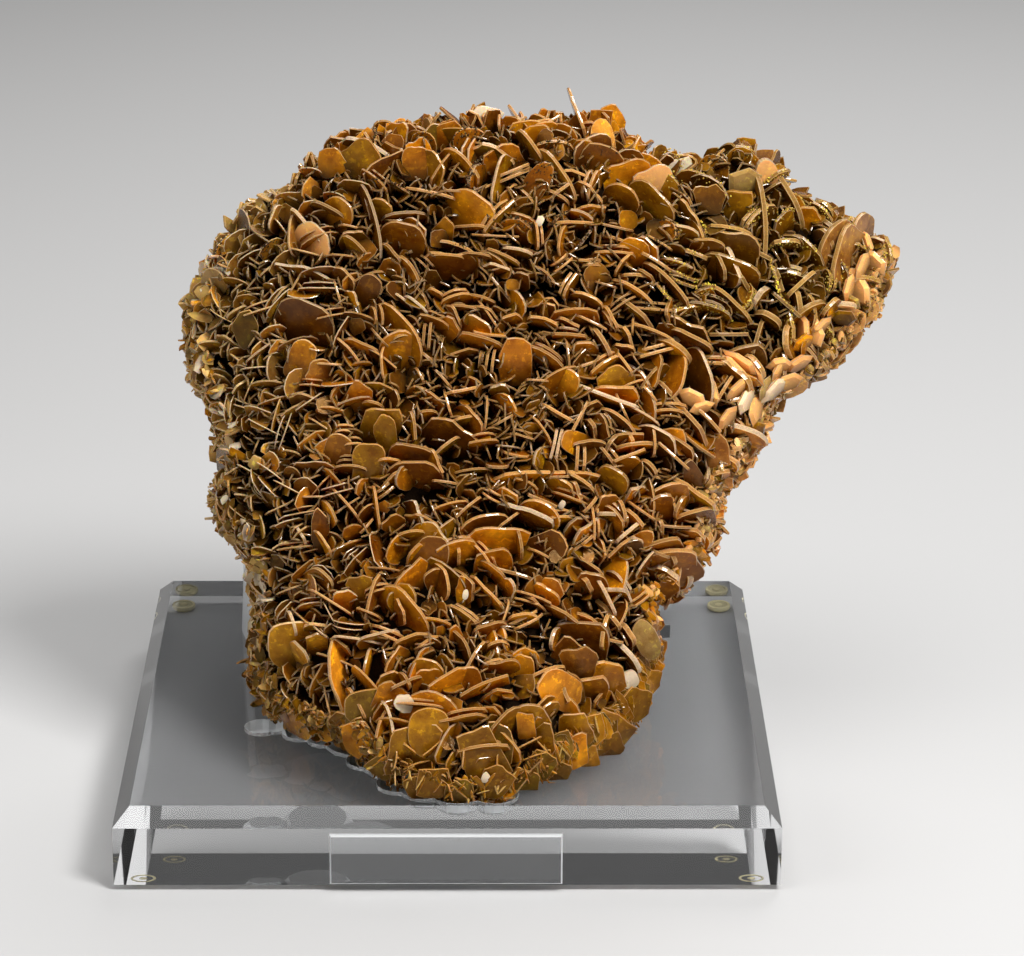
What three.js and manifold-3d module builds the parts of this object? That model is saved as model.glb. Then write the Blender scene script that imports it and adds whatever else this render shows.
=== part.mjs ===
// A cabinet wulfenite: a leaning crust of thin tabular crystals on its matrix, set in a carved
// recess of a clear acrylic block and held from behind by an upright slab.
// Millimetres, +Z up, the underside of the feet at z = 0.

import * as THREE from 'three';
import { mergeVertices } from 'three/addons/utils/BufferGeometryUtils.js';
import Module from 'manifold-3d';

const wasm = await Module();
wasm.setup();

// ---------------------------------------------------------------- driving dimensions

const clearance = 0.3; // between the stone and the acrylic that holds it

const block = { width: 216, depth: 205.8, height: 25.7, bevelRun: 5.4, bevelDrop: 5.6 };
const foot = { diameter: 8.6, tread: 6.8, height: 2, insetX: 9.2, insetY: 7.6 };
const label = { width: 75.2, height: 17.4, thickness: 1.6, chamfer: 0.5, offsetX: -0.4, rise: 0.9 };

const blockTop = foot.height + block.height;

// Upright slab: its foot on the block as four plan corners, and how each end leans to the right
const upright = {
  frontLeft: [-70.4, 30.8], backLeft: [-74.6, 49.6], backRight: [79, 61.8], frontRight: [78.2, 43.2],
  height: 132, leftLean: 0.045, rightLean: 0.02,
};

// Recess: overlapping round cuts [x, y, radius], with a rounded foot to each wall
const recess = {
  depth: 6,
  floorRound: 2.2,
  cuts: [
    [-63.2, -34.2, 5.9], [-58.8, -33.6, 5.4], [-50, -38.6, 6.3], [-41.6, -43.8, 6.1], [-35.6, -48.6, 4.9],
    [-27.6, -61.6, 6.3], [-15.6, -79.4, 7.9], [-7, -83.4, 9], [3.4, -86.6, 9.6], [15.2, -88.2, 8],
    [-44, -31, 12], [-28, -45, 14], [-12, -62, 17], [6, -70, 17],
  ],
};

// The stone's own frame: u to the right, v up its leaning face, w out towards the viewer
const lean = THREE.MathUtils.degToRad(22);
const seat = new THREE.Vector3(0, -50, blockTop);
const alongU = new THREE.Vector3(1, 0, 0);
const alongV = new THREE.Vector3(0, Math.sin(lean), Math.cos(lean));
const alongW = new THREE.Vector3(0, -Math.cos(lean), Math.sin(lean));

// Reach of the crystal tips all round the stone, [u, v], counter-clockwise from the arm
const outline = [
  [154, 168], [149, 172], [141, 178], [130, 182], [119, 187], [113, 197], [104, 204], [94, 201],
  [86, 198], [68, 201], [60, 203], [55, 212], [47, 210], [40, 213], [27, 210], [10, 213], [-6, 210],
  [-18, 208], [-34, 205], [-47, 199], [-57, 188], [-73, 181], [-80, 168], [-89, 152], [-91, 142],
  [-88, 124], [-80, 109], [-78, 95], [-82, 80], [-75, 69], [-68, 58], [-66, 40], [-69, 22],
  [-60, 9], [-46, 4], [-32, 1], [-23, -8], [-10, -15], [6, -18], [20, -16], [34, -11], [47, -3],
  [60, 3], [67, 18], [72, 32], [70, 44], [82, 53], [91, 66], [94, 84], [107, 102], [112, 116],
  [129, 126], [148, 148],
];
const heart = [10, 108]; // the point of the face that its outline is measured from

const face = {
  height: 30, // tips above the frame's plane over most of the face
  nose: { height: 22, v: 8, spread: 36 }, // the lip that juts forward at the foot
  fallLeft: 0.0035, fallRight: 0.0014, // how the face falls away to each side, per mm squared
  flank: { fall: 0.0085, v: 5, spread: 45 }, // the steeper flanks beside the lip
  edgeFall: 16, // how far the tips drop back where the face rounds over at its rim
  edgeStart: 0.74,
};
const crust = { depth: 11, lipDepth: 6, overhang: 6, rimDrop: 9, root: 4.5 }; // crystals over the matrix
const back = { w: -38, slope: -0.075, rimThickness: 12 }; // the sawn back that meets the upright

// ---------------------------------------------------------------- crystals

// Larger tabular crystals, one row each: the middle of the visible edge [u, v], the length of the
// edge and its bearing in degrees, how far the face turns to the viewer in degrees (0 is edge-on),
// half the plate's depth, and its thickness
const topCrystals = [
  [44, 208, 20, -70, 8, 7, 1.6], [54, 202, 10, 9, 62, 8, 1.2], [47, 201, 14, -22, 40, 9, 1.2],
  [74, 187, 13, 17, 66, 8, 1.6], [38, 190, 23, -56, 28, 11, 1.4], [47, 185, 14, -39, 28, 8, 1.2],
  [70, 183, 19, -46, 38, 11, 1.3], [81, 177, 14, -57, 30, 10, 1.3], [12, 209, 12, 0, 72, 7, 1.2],
  [-25, 199, 21, -26, 22, 9, 1.8], [-39, 193, 12, -34, 64, 8, 1.2], [6, 193, 17, -47, 30, 10, 1.4],
  [12, 180, 19, -46, 45, 11, 1.4], [-24, 174, 28, -76, 20, 10, 1.2], [-13, 172, 16, -22, 42, 9, 1.2],
  [-53, 170, 15, 85, 35, 7, 1.2], [-45, 171, 20, -50, 14, 9, 1.4], [-45, 158, 26, -25, 26, 12, 1.2],
  [2, 164, 20, 2, 38, 14, 1.3], [30, 206, 12, -9, 58, 9, 1.3], [15, 187, 19, 76, 25, 9, 1.2],
];
const armCrystals = [
  [105, 175, 38, -88, 12, 16, 1.9], [115, 185, 26, -62, 16, 12, 2.2], [95, 171, 19, -8, 48, 13, 1.6],
  [73, 154, 22, -46, 12, 11, 1.4], [63, 144, 22, -38, 14, 12, 1.8], [93, 150, 25, -36, 20, 13, 1.6],
  [51, 134, 14, -59, 12, 9, 1.8], [81, 141, 18, -21, 38, 11, 1.5], [98, 134, 19, 4, 40, 13, 1.8],
  [112, 135, 12, 90, 20, 8, 2.6], [96, 160, 18, -75, 22, 9, 1.8], [126, 170, 19, 62, 35, 9, 2],
  [130, 165, 22, 75, 30, 10, 2], [136, 173, 16, 73, 30, 8, 2], [125, 140, 12, -61, 55, 6, 4],
  [141, 157, 17, -55, 50, 7, 5], [140, 174, 13, -65, 22, 7, 2.4],
];
const middleCrystals = [
  [79, 111, 31, -50, 16, 13, 1.8], [79, 87, 26, -30, 18, 12, 1.7], [95, 104, 21, -15, 45, 12, 1.8],
  [56, 120, 20, -12, 34, 12, 1.5], [67, 120, 23, -63, 34, 11, 1.4], [77, 122, 18, 74, 50, 8, 1.6],
  [87, 123, 22, -75, 38, 9, 1.6], [96, 125, 16, -43, 28, 8, 2.8], [71, 104, 17, -38, 36, 11, 1.5],
  [-44, 146, 21, -31, 45, 11, 1.3], [-12, 138, 26, -56, 34, 13, 1.3], [-14, 137, 17, -6, 48, 12, 1.3],
  [-20, 113, 17, -17, 50, 11, 1.2], [2, 108, 23, -23, 40, 14, 1.3], [-10, 94, 20, -8, 36, 14, 1.2],
  [28, 92, 45, 5, 28, 19, 1.5], [27, 78, 21, -22, 20, 13, 1.8], [14, 74, 26, 8, 44, 13, 1.3],
  [14, 66, 17, 4, 40, 11, 1.2], [43, 72, 17, 48, 34, 11, 1.4], [59, 55, 18, 75, 55, 9, 1.4],
  [33, 54, 17, -24, 40, 11, 1.3], [73, 65, 21, 7, 28, 12, 1.8], [80, 59, 12, -66, 24, 8, 3],
];
const lipCrystals = [
  [44, 43, 26, -10, 42, 17, 1.5], [-25, 52, 27, 73, 18, 13, 1.3], [-10, 47, 25, -53, 36, 12, 1.4],
  [-38, 23, 31, 96, 38, 15, 1.5], [-51, 42, 19, 4, 52, 11, 1.2], [-23, 38, 15, 13, 26, 9, 1.2],
  [-6, 29, 15, 3, 58, 13, 1.2], [7, 33, 18, -66, 20, 10, 1.2], [-29, 9, 14, -12, 68, 12, 1.2],
  [-1, 18, 21, -28, 52, 15, 1.2], [9, 5, 17, 13, 74, 17, 1.4], [19, 3, 16, -3, 74, 14, 1.2],
  [42, 34, 15, 12, 64, 12, 1.1], [59, 32, 17, -47, 30, 11, 2.2], [47, 23, 15, -2, 50, 11, 1.4],
  [-11, 2, 18, -6, 76, 16, 1.3], [36, 3, 12, 14, 72, 13, 1.3], [48, 7, 13, 20, 70, 12, 1.3],
];
const scatter = { count: 84, rightmost: -18, length: 17, spread: 8, thickness: 1.6, seed: 20417 };

// ---------------------------------------------------------------- solids

function toSolid(geometry) {
  const bare = geometry.clone();
  bare.deleteAttribute('normal');
  bare.deleteAttribute('uv');
  const welded = mergeVertices(bare, 1e-4);
  return new wasm.Manifold(new wasm.Mesh({
    numProp: 3,
    vertProperties: new Float32Array(welded.attributes.position.array),
    triVerts: new Uint32Array(welded.index.array),
  }));
}

function toGeometry(solid) {
  const mesh = solid.getMesh();
  const geometry = new THREE.BufferGeometry();
  geometry.setAttribute('position', new THREE.BufferAttribute(mesh.vertProperties, 3));
  geometry.setIndex(new THREE.BufferAttribute(mesh.triVerts, 1));
  return geometry;
}

// A closed skin over rings of equally many points, each counter-clockwise about the way they climb
function loft(rings) {
  const count = rings[0].length;
  const middle = ring => ring.reduce((sum, p) => sum.add(p), new THREE.Vector3()).divideScalar(count);
  const points = [...rings.flat(), middle(rings[0]), middle(rings.at(-1))];
  const faces = [];
  for (let r = 0; r + 1 < rings.length; r++) {
    for (let i = 0; i < count; i++) {
      const [a, b] = [r * count + i, r * count + (i + 1) % count];
      faces.push(a, b, b + count, a, b + count, a + count);
    }
  }
  const last = (rings.length - 1) * count;
  for (let i = 0; i < count; i++) {
    const next = (i + 1) % count;
    faces.push(rings.length * count, next, i);
    faces.push(rings.length * count + 1, last + i, last + next);
  }
  const geometry = new THREE.BufferGeometry().setFromPoints(points);
  geometry.setIndex(faces);
  return geometry;
}

function rectangle(halfWidth, halfDepth, z) {
  const corners = [[-1, -1], [1, -1], [1, 1], [-1, 1]];
  return corners.map(([x, y]) => new THREE.Vector3(x * halfWidth, y * halfDepth, z));
}

function turned(profile, segments) {
  const geometry = new THREE.LatheGeometry(profile.map(([r, z]) => new THREE.Vector2(r, z)), segments);
  return geometry.rotateX(Math.PI / 2);
}

// ---------------------------------------------------------------- the stand

// The round cuts of the recess, drawn in by a margin on every side
function recessCuts(margin) {
  const floor = blockTop - recess.depth + margin;
  return recess.cuts.map(([x, y, radius]) => {
    const r = radius - margin;
    const profile = [
      [0, floor], [r - recess.floorRound, floor], [r, floor + recess.floorRound],
      [r, blockTop + block.height], [0, blockTop + block.height],
    ];
    return toSolid(turned(profile, 16).translate(x, y, 0));
  }).reduce((all, cut) => all.add(cut));
}

function blockSolid() {
  const [halfWidth, halfDepth] = [block.width / 2, block.depth / 2];
  const body = toSolid(loft([
    rectangle(halfWidth, halfDepth, foot.height),
    rectangle(halfWidth, halfDepth, blockTop - block.bevelDrop),
    rectangle(halfWidth - block.bevelRun, halfDepth - block.bevelRun, blockTop),
  ]));
  return body.subtract(recessCuts(0));
}

function footGeometry() {
  const [tread, radius] = [foot.tread / 2, foot.diameter / 2];
  const profile = [
    [0, 0], [tread, 0], [radius, 0.5 * foot.height], [radius, foot.height], [0, foot.height],
  ];
  return turned(profile, 16);
}

function labelGeometry() {
  const [halfWidth, halfHeight] = [label.width / 2, label.height / 2];
  const plate = loft([
    rectangle(halfWidth, halfHeight, 0),
    rectangle(halfWidth, halfHeight, label.thickness - label.chamfer),
    rectangle(halfWidth - label.chamfer, halfHeight - label.chamfer, label.thickness),
  ]);
  return plate.rotateX(Math.PI / 2)
    .translate(label.offsetX, -block.depth / 2, foot.height + label.rise + halfHeight);
}

// Everything on one side of the stone's sawn back: in front of it, or behind it, by an offset
function besideBack(offset, side) {
  const reach = 400;
  const normal = alongW.clone().addScaledVector(alongU, -back.slope).normalize();
  const sideways = alongV.clone().cross(normal);
  const middle = seat.clone().addScaledVector(alongW, back.w)
    .addScaledVector(normal, offset + side * reach / 2);
  const place = new THREE.Matrix4().makeBasis(sideways, alongV, normal).setPosition(middle);
  return toSolid(new THREE.BoxGeometry(reach, reach, reach).applyMatrix4(place));
}

function uprightSolid() {
  const ring = rise => {
    const corner = ([x, y], slant) => new THREE.Vector3(x + slant * rise, y, blockTop + rise);
    return [
      corner(upright.frontLeft, upright.leftLean), corner(upright.frontRight, upright.rightLean),
      corner(upright.backRight, upright.rightLean), corner(upright.backLeft, upright.leftLean),
    ];
  };
  return toSolid(loft([ring(0), ring(upright.height)])).subtract(besideBack(-clearance, 1));
}

// ---------------------------------------------------------------- the stone

const place = (u, v, w) => seat.clone()
  .addScaledVector(alongU, u).addScaledVector(alongV, v).addScaledVector(alongW, w);

// A direction in the plane of the face, by its bearing from the right
const headed = bearing => alongU.clone().multiplyScalar(Math.cos(bearing))
  .addScaledVector(alongV, Math.sin(bearing));

const bell = (v, middle, spread) => Math.exp(-(((v - middle) / spread) ** 2));

// Height of the crystal tips over the frame's plane, before the rim rounds over
function crest(u, v) {
  const flankFall = face.flank.fall * bell(v, face.flank.v, face.flank.spread);
  const fall = (u < 0 ? face.fallLeft : face.fallRight) + flankFall;
  return face.height + face.nose.height * bell(v, face.nose.v, face.nose.spread) - fall * u * u;
}

// Distance from the heart of the face to its outline along a bearing
function reachOf(bearing) {
  const [du, dv] = [Math.cos(bearing), Math.sin(bearing)];
  let reach = 0;
  outline.forEach(([u1, v1], i) => {
    const [u2, v2] = outline[(i + 1) % outline.length];
    const [pu, pv] = [u1 - heart[0], v1 - heart[1]];
    const [eu, ev] = [u2 - u1, v2 - v1];
    const cross = du * ev - dv * eu;
    const along = (pu * ev - pv * eu) / cross;
    const share = (pu * dv - pv * du) / cross;
    if (share >= 0 && share < 1 && along > reach) reach = along;
  });
  return reach;
}

const edgeDrop = share => face.edgeFall * Math.max(0, (share - face.edgeStart) / (1 - face.edgeStart)) ** 2;

// Height of the crystal tips with the rim rounded over, the lip less so
function skin(u, v) {
  const [du, dv] = [u - heart[0], v - heart[1]];
  const share = Math.hypot(du, dv) / reachOf(Math.atan2(dv, du));
  const roll = 1 - 0.8 * bell(v, -10, 30) * bell(u, 5, 40);
  return crest(u, v) - roll * edgeDrop(Math.min(share, 1.05));
}

// Lumps of the matrix, about a millimetre and a half high
function rough(u, v) {
  return 0.9 * Math.sin(0.21 * u + 1.3) * Math.cos(0.17 * v + 0.4) + 0.7 * Math.sin(0.43 * u + 0.37 * v);
}

// One ring of the matrix: a share of the way from its heart to its rim, at heights worked out from
// the skin of the face; no point lies lower than the underside that stands over the block
function matrixRing(share, heightAt) {
  const count = 44;
  const underside = blockTop + 1;
  return Array.from({ length: count }, (_, i) => {
    const bearing = 2 * Math.PI * i / count;
    const radius = share * (reachOf(bearing) - crust.overhang);
    const [u, v] = [heart[0] + radius * Math.cos(bearing), heart[1] + radius * Math.sin(bearing)];
    const point = place(u, v, heightAt(u, v));
    if (point.z < underside) point.z = underside + 0.6 * Math.abs(rough(3 * u, 2 * point.y));
    return point;
  });
}

// How far the matrix lies below the crystal tips, less on the lip
function crustDepth(u, v) {
  return crust.depth - (crust.depth - crust.lipDepth) * bell(v, -5, 22) * bell(u, 5, 45);
}

function matrixSolid() {
  const front = (u, v) => skin(u, v) - crustDepth(u, v) + rough(u, v);
  const rimFront = (u, v) => front(u, v) - crust.rimDrop;
  const behind = (u, v) => back.w + back.slope * u;
  const rimBack = (u, v) => Math.max(behind(u, v) + 2, rimFront(u, v) - back.rimThickness);
  const seatOf = (u, v) => Math.min(behind(u, v) + 1.5 * rough(v, u), rimBack(u, v) - 3);
  return toSolid(loft([
    matrixRing(0.3, seatOf), matrixRing(0.6, seatOf), matrixRing(0.85, seatOf),
    matrixRing(1, (u, v) => rimBack(u, v) + rough(v, u)), matrixRing(1.02, rimFront),
    matrixRing(0.93, front), matrixRing(0.8, front), matrixRing(0.62, front),
    matrixRing(0.42, front), matrixRing(0.2, front),
  ]));
}

// A tabular crystal: a seven-sided plate, its long axis and its depth given by two directions
function crystalSolid(middle, along, inward, halfLength, halfDepth, thickness) {
  const normal = along.clone().cross(inward).normalize();
  const sides = 7;
  const ring = level => Array.from({ length: sides }, (_, i) => {
    const turn = 2 * Math.PI * (i + 0.5) / sides;
    const bulge = 1.04 + 0.05 * Math.sin(3 * i + halfLength);
    return middle.clone()
      .addScaledVector(along, bulge * halfLength * Math.cos(turn))
      .addScaledVector(inward, bulge * halfDepth * Math.sin(turn))
      .addScaledVector(normal, level * thickness / 2);
  });
  return toSolid(loft([ring(-1), ring(1)]));
}

// A crystal as seen in the plane of the face, with its tips on the skin
function namedCrystal([u, v, length, bearing, turn, halfDepth, thickness]) {
  const [heading, tilt] = [bearing, turn].map(THREE.MathUtils.degToRad);
  const along = headed(heading);
  const facing = headed(heading - Math.PI / 2);
  const inward = alongW.clone().multiplyScalar(-Math.cos(tilt)).addScaledVector(facing, Math.sin(tilt));
  const sunk = halfDepth * Math.cos(tilt);
  const middle = place(u, v, skin(u, v) - Math.max(sunk, crustDepth(u, v) + crust.root - sunk));
  return crystalSolid(middle, along, inward, length / 2, halfDepth, thickness);
}

// Numbers between 0 and 1 that are the same each time
function numbers(seed) {
  let state = seed;
  return () => {
    state = (state * 16807) % 2147483647;
    return state / 2147483647;
  };
}

// Smaller crystals over the side of the face that the larger ones leave free, spaced by the golden
// angle and fanning out at the rim
function scatteredCrystals() {
  const next = numbers(scatter.seed);
  const goldenAngle = Math.PI * (3 - Math.sqrt(5));
  const crystals = [];
  for (let i = 0; i < scatter.count; i++) {
    const bearing = i * goldenAngle;
    const share = 0.97 * Math.sqrt((i + 0.5) / scatter.count);
    const radius = share * (reachOf(bearing) - crust.overhang / 2);
    const [u, v] = [heart[0] + radius * Math.cos(bearing), heart[1] + radius * Math.sin(bearing)];
    const length = scatter.length + scatter.spread * (next() - 0.5);
    const fan = share > face.edgeStart ? 1.1 * (share - face.edgeStart) / (1 - face.edgeStart) : 0;
    const growth = alongW.clone().addScaledVector(headed(bearing), fan).normalize();
    const tangent = headed(2 * Math.PI * next());
    const along = tangent.addScaledVector(growth, -tangent.dot(growth)).normalize();
    const tilt = 0.7 * (next() - 0.5);
    const inward = growth.clone().multiplyScalar(-Math.cos(tilt))
      .addScaledVector(along.clone().cross(growth), Math.sin(tilt));
    const rooted = (crust.depth + crust.root) / 2 / Math.cos(tilt);
    const halfDepth = Math.max((0.42 + 0.1 * next()) * length, rooted);
    if (u > scatter.rightmost) continue;
    const middle = place(u, v, skin(u, v)).addScaledVector(inward, halfDepth);
    crystals.push(crystalSolid(middle, along, inward, length / 2, halfDepth, scatter.thickness));
  }
  return crystals;
}

// Lumps of matrix that stand in the recess
function footLumps() {
  const lumps = [[-44, -34, 11], [-28, -50, 12], [-10, -70, 14], [6, -76, 13]];
  return lumps.map(([x, y, radius]) => {
    const lump = new THREE.IcosahedronGeometry(radius, 0).scale(1, 1, 0.9);
    return toSolid(lump.translate(x, y, blockTop + 0.2 * radius));
  });
}

// What the stone has to stay out of: the block with its recess, and all that is below
function mould() {
  const floor = 40;
  const bulk = new THREE.BoxGeometry(block.width * 3, block.depth * 3, floor);
  const solid = toSolid(bulk.translate(0, 0, blockTop + clearance - floor / 2));
  return solid.subtract(recessCuts(clearance));
}

function stoneSolid() {
  const named = [...topCrystals, ...armCrystals, ...middleCrystals, ...lipCrystals].map(namedCrystal);
  const pieces = [...named, ...scatteredCrystals(), ...footLumps()];
  return pieces.reduce((all, piece) => all.add(piece), matrixSolid())
    .subtract(mould())
    .subtract(besideBack(0, -1));
}

// ---------------------------------------------------------------- materials and assembly

const acrylic = new THREE.MeshStandardMaterial({ color: 0xdfe7ea, roughness: 0.05, metalness: 0 });
const bumperRubber = new THREE.MeshStandardMaterial({ color: 0xe6dcae, roughness: 0.3, metalness: 0 });
const wulfenite = new THREE.MeshStandardMaterial({ color: 0xa9671f, roughness: 0.4, metalness: 0 });

const model = new THREE.Group();

function addPiece(name, geometry, material) {
  const mesh = new THREE.Mesh(geometry, material);
  mesh.name = name;
  model.add(mesh);
  return mesh;
}

addPiece('wulfenite_cluster', toGeometry(stoneSolid()), wulfenite);
addPiece('base_block', toGeometry(blockSolid()), acrylic);
addPiece('upright_slab', toGeometry(uprightSolid()), acrylic);
addPiece('label_plate', labelGeometry(), acrylic);

const corners = { front_left: [-1, -1], front_right: [1, -1], rear_left: [-1, 1], rear_right: [1, 1] };
for (const [corner, [x, y]] of Object.entries(corners)) {
  const bumper = addPiece(`foot_${corner}`, footGeometry(), bumperRubber);
  bumper.position.set(x * (block.width / 2 - foot.insetX), y * (block.depth / 2 - foot.insetY), 0);
}

// The origin lies under the middle of the whole piece's box, on the surface it stands on
const bounds = new THREE.Box3().setFromObject(model);
const part = new THREE.Group();
model.position.set(-(bounds.min.x + bounds.max.x) / 2, -(bounds.min.y + bounds.max.y) / 2, 0);
part.add(model);

export default part;
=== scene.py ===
"""Wulfenite on an acrylic stand: the crystal crust, its matrix, and the stand's finishes."""

import math

import bpy
import numpy as np
from mathutils import Matrix, Vector


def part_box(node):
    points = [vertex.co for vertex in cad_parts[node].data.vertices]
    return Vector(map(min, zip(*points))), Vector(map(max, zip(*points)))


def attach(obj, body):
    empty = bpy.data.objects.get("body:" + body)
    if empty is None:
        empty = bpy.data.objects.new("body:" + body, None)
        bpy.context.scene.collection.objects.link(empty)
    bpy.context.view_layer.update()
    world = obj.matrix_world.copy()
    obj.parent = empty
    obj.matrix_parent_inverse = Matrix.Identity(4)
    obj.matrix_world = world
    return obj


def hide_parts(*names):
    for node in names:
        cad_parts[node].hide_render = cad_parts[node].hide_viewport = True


bl_info = {
    "name": "Wulfenite Specimen",
    "version": (1, 0, 0),
    "blender": (4, 5, 0),
    "location": "3D View > Sidebar > Wulfenite",
    "description": "Builds a wulfenite crystal cluster on its clear stand",
    "category": "Add Mesh",
}

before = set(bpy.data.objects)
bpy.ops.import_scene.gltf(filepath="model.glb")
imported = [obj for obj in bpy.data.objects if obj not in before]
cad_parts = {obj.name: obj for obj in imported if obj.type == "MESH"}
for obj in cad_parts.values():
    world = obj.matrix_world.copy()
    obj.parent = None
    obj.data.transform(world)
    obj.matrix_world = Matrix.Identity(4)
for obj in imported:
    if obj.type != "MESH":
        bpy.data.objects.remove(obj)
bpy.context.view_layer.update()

# ------------------------------------------------------------------ the stand, in mm

MM = 0.001
FULL_TURN = 2 * math.pi
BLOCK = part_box("base_block")
BLOCK_MIDDLE = np.array([(BLOCK[0][0] + BLOCK[1][0]) / 2, (BLOCK[0][1] + BLOCK[1][1]) / 2, 0]) / MM
BLOCK_TOP = BLOCK[1][2] / MM
BEVEL = 5.4
GLUE = 0.05  # what the upright, the label and the frosted skin stand off the block
FROST_SKIN = 0.04
ACRYLIC_IOR, RUBBER_IOR = 1.49, 1.45
MERGE_DISTANCE = 1e-6  # metres

# The recess in the block: round cuts (x, y, radius) from the block's middle, and their depth
RECESS_CUTS = np.array([
    (-63.2, -34.2, 5.9), (-58.8, -33.6, 5.4), (-50, -38.6, 6.3), (-41.6, -43.8, 6.1), (-35.6, -48.6, 4.9),
    (-27.6, -61.6, 6.3), (-15.6, -79.4, 7.9), (-7, -83.4, 9), (3.4, -86.6, 9.6), (15.2, -88.2, 8),
    (-44, -31, 12), (-28, -45, 14), (-12, -62, 17), (6, -70, 17),
])
RECESS_DEPTH = 6.0

# What the stone keeps off the recess's walls and its floor, the block's top and the sawn back's plane
WALL_GAP, FLOOR_GAP, TOP_GAP, BACK_GAP = 0.6, 0.5, 0.4, 0.15

# A bumper foot's profile, from the middle of its underside: (radius, height)
BUMPER_PROFILE = (
    (0, 0.0), (2.9, 0.0), (3.6, 0.22), (4.1, 0.7), (4.3, 1.3), (4.25, 1.8), (4.1, 2.08), (3.3, 2.08),
    (3.1, 1.7), (1.5, 1.7), (1.3, 2.08), (0, 2.08),
)

# ------------------------------------------------------------------ the stone, in mm

LEAN = math.radians(22)
SEAT = BLOCK_MIDDLE + np.array([0, -50, BLOCK_TOP])
ALONG_U = np.array([1.0, 0.0, 0.0])  # to the right
ALONG_V = np.array([0.0, math.sin(LEAN), math.cos(LEAN)])  # up the leaning face
ALONG_W = np.array([0.0, -math.cos(LEAN), math.sin(LEAN)])  # out of the face

# Reach of the crystal tips all round the stone, (u, v), counter-clockwise from the arm
OUTLINE = np.array([
    (154, 168), (149, 172), (141, 178), (130, 182), (119, 187), (113, 197), (104, 204), (94, 201),
    (86, 198), (68, 201), (60, 203), (55, 212), (47, 210), (40, 213), (27, 210), (10, 213), (-6, 210),
    (-18, 208), (-34, 205), (-47, 199), (-57, 188), (-73, 181), (-80, 168), (-89, 152), (-91, 142),
    (-88, 124), (-80, 109), (-78, 95), (-82, 80), (-75, 69), (-68, 58), (-66, 40), (-69, 22), (-60, 9),
    (-46, 4), (-32, 1), (-23, -8), (-10, -15), (6, -18), (20, -16), (34, -11), (47, -3), (60, 3),
    (67, 18), (72, 32), (70, 44), (82, 53), (91, 66), (94, 84), (107, 102), (112, 116), (129, 126),
    (148, 148),
], float)
HEART = np.array([10.0, 108.0])
DOME_HEIGHT, LIP_HEIGHT, ROLL_DEPTH = 30, 22, 16
CRUST_DEPTH, LIP_CRUST_DEPTH = 11, 6
EDGE_START = 0.74  # share of the way from the heart at which the face rolls over to its rim
OVERHANG = 6.0  # what the crystals stand out past the rock
BACK_W = -38.0
BACK_SLOPE = -0.075
CRUST_AREA = ((-92, -19), (155, 214))  # lowest and highest (u, v) for the crust
HOLLOW_AREA = ((-90, -16), (152, 212))  # and for the crystals in its hollows
WALL_OUT, WALL_DOWN = 8.2, 11  # the outer side of the rim, from its top to its foot

# The rock's mesh, and its relief: a name, a kind of noise, its size in metres, its height in lumps
ROCK_SEGMENTS, ROCK_RINGS = 220, 96
ROCK_RELIEF = (("rock_breaks", "VORONOI", 0.02, 1.4), ("rock_lumps", "CLOUDS", 0.008, 1.3))

# Corners of the plates that are told apart, of the crust's, of the small ones, of the milky tablets
PLACED_CORNERS, CRUST_CORNERS, SMALL_CORNERS, TABLET_CORNERS = 24, 14, 8, 6
PLATE_FLAT, TABLET_FLAT = 0.97, 0.72  # breadth of the flat faces as a share of the whole
SHOWS_FACE = 34  # degrees of turn past which a plate shows its face rather than its edge

# The crust: places tried for its crystals, and the shares of them that lie askew, turn to the
# front, are needles, and have a second and a third one by their side
CRUST_TRIES = 26000
ASKEW_SHARE, TURNED_SHARE, NEEDLE_SHARE, SECOND_SHARE, THIRD_SHARE = 0.34, 0.17, 0.2, 0.22, 0.08
NEEDLE_LENGTHS, NEEDLE_THICKNESS, LONGEST_EDGE = (9, 17), 0.4, 19

# Crystals in the crust's hollows: how many, how far under the tips, their half lengths
INFILL = (2250, (1.3, 4.6), (1.8, 4.3))
DEEP_INFILL = (3000, (5.5, 9.5), (1.3, 2.8))

# Crystals round the rim, and the shares of them that lie far down and that rubble takes the place of
FRINGE_COUNT, FAR_SHARE, COVERED_SHARE = 1150, 0.25, 0.6

# Grains on a plate, fewest and most, and their radii
GRAIN_COUNTS, GRAIN_SIZES = (15, 90), (0.14, 0.42)

# The colours of most faces, each with the share of them that it and those before it take
FACE_TONES = (("brown", 0.34), ("amber", 0.74), ("orange", 0.86), ("gold", 1))

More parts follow.
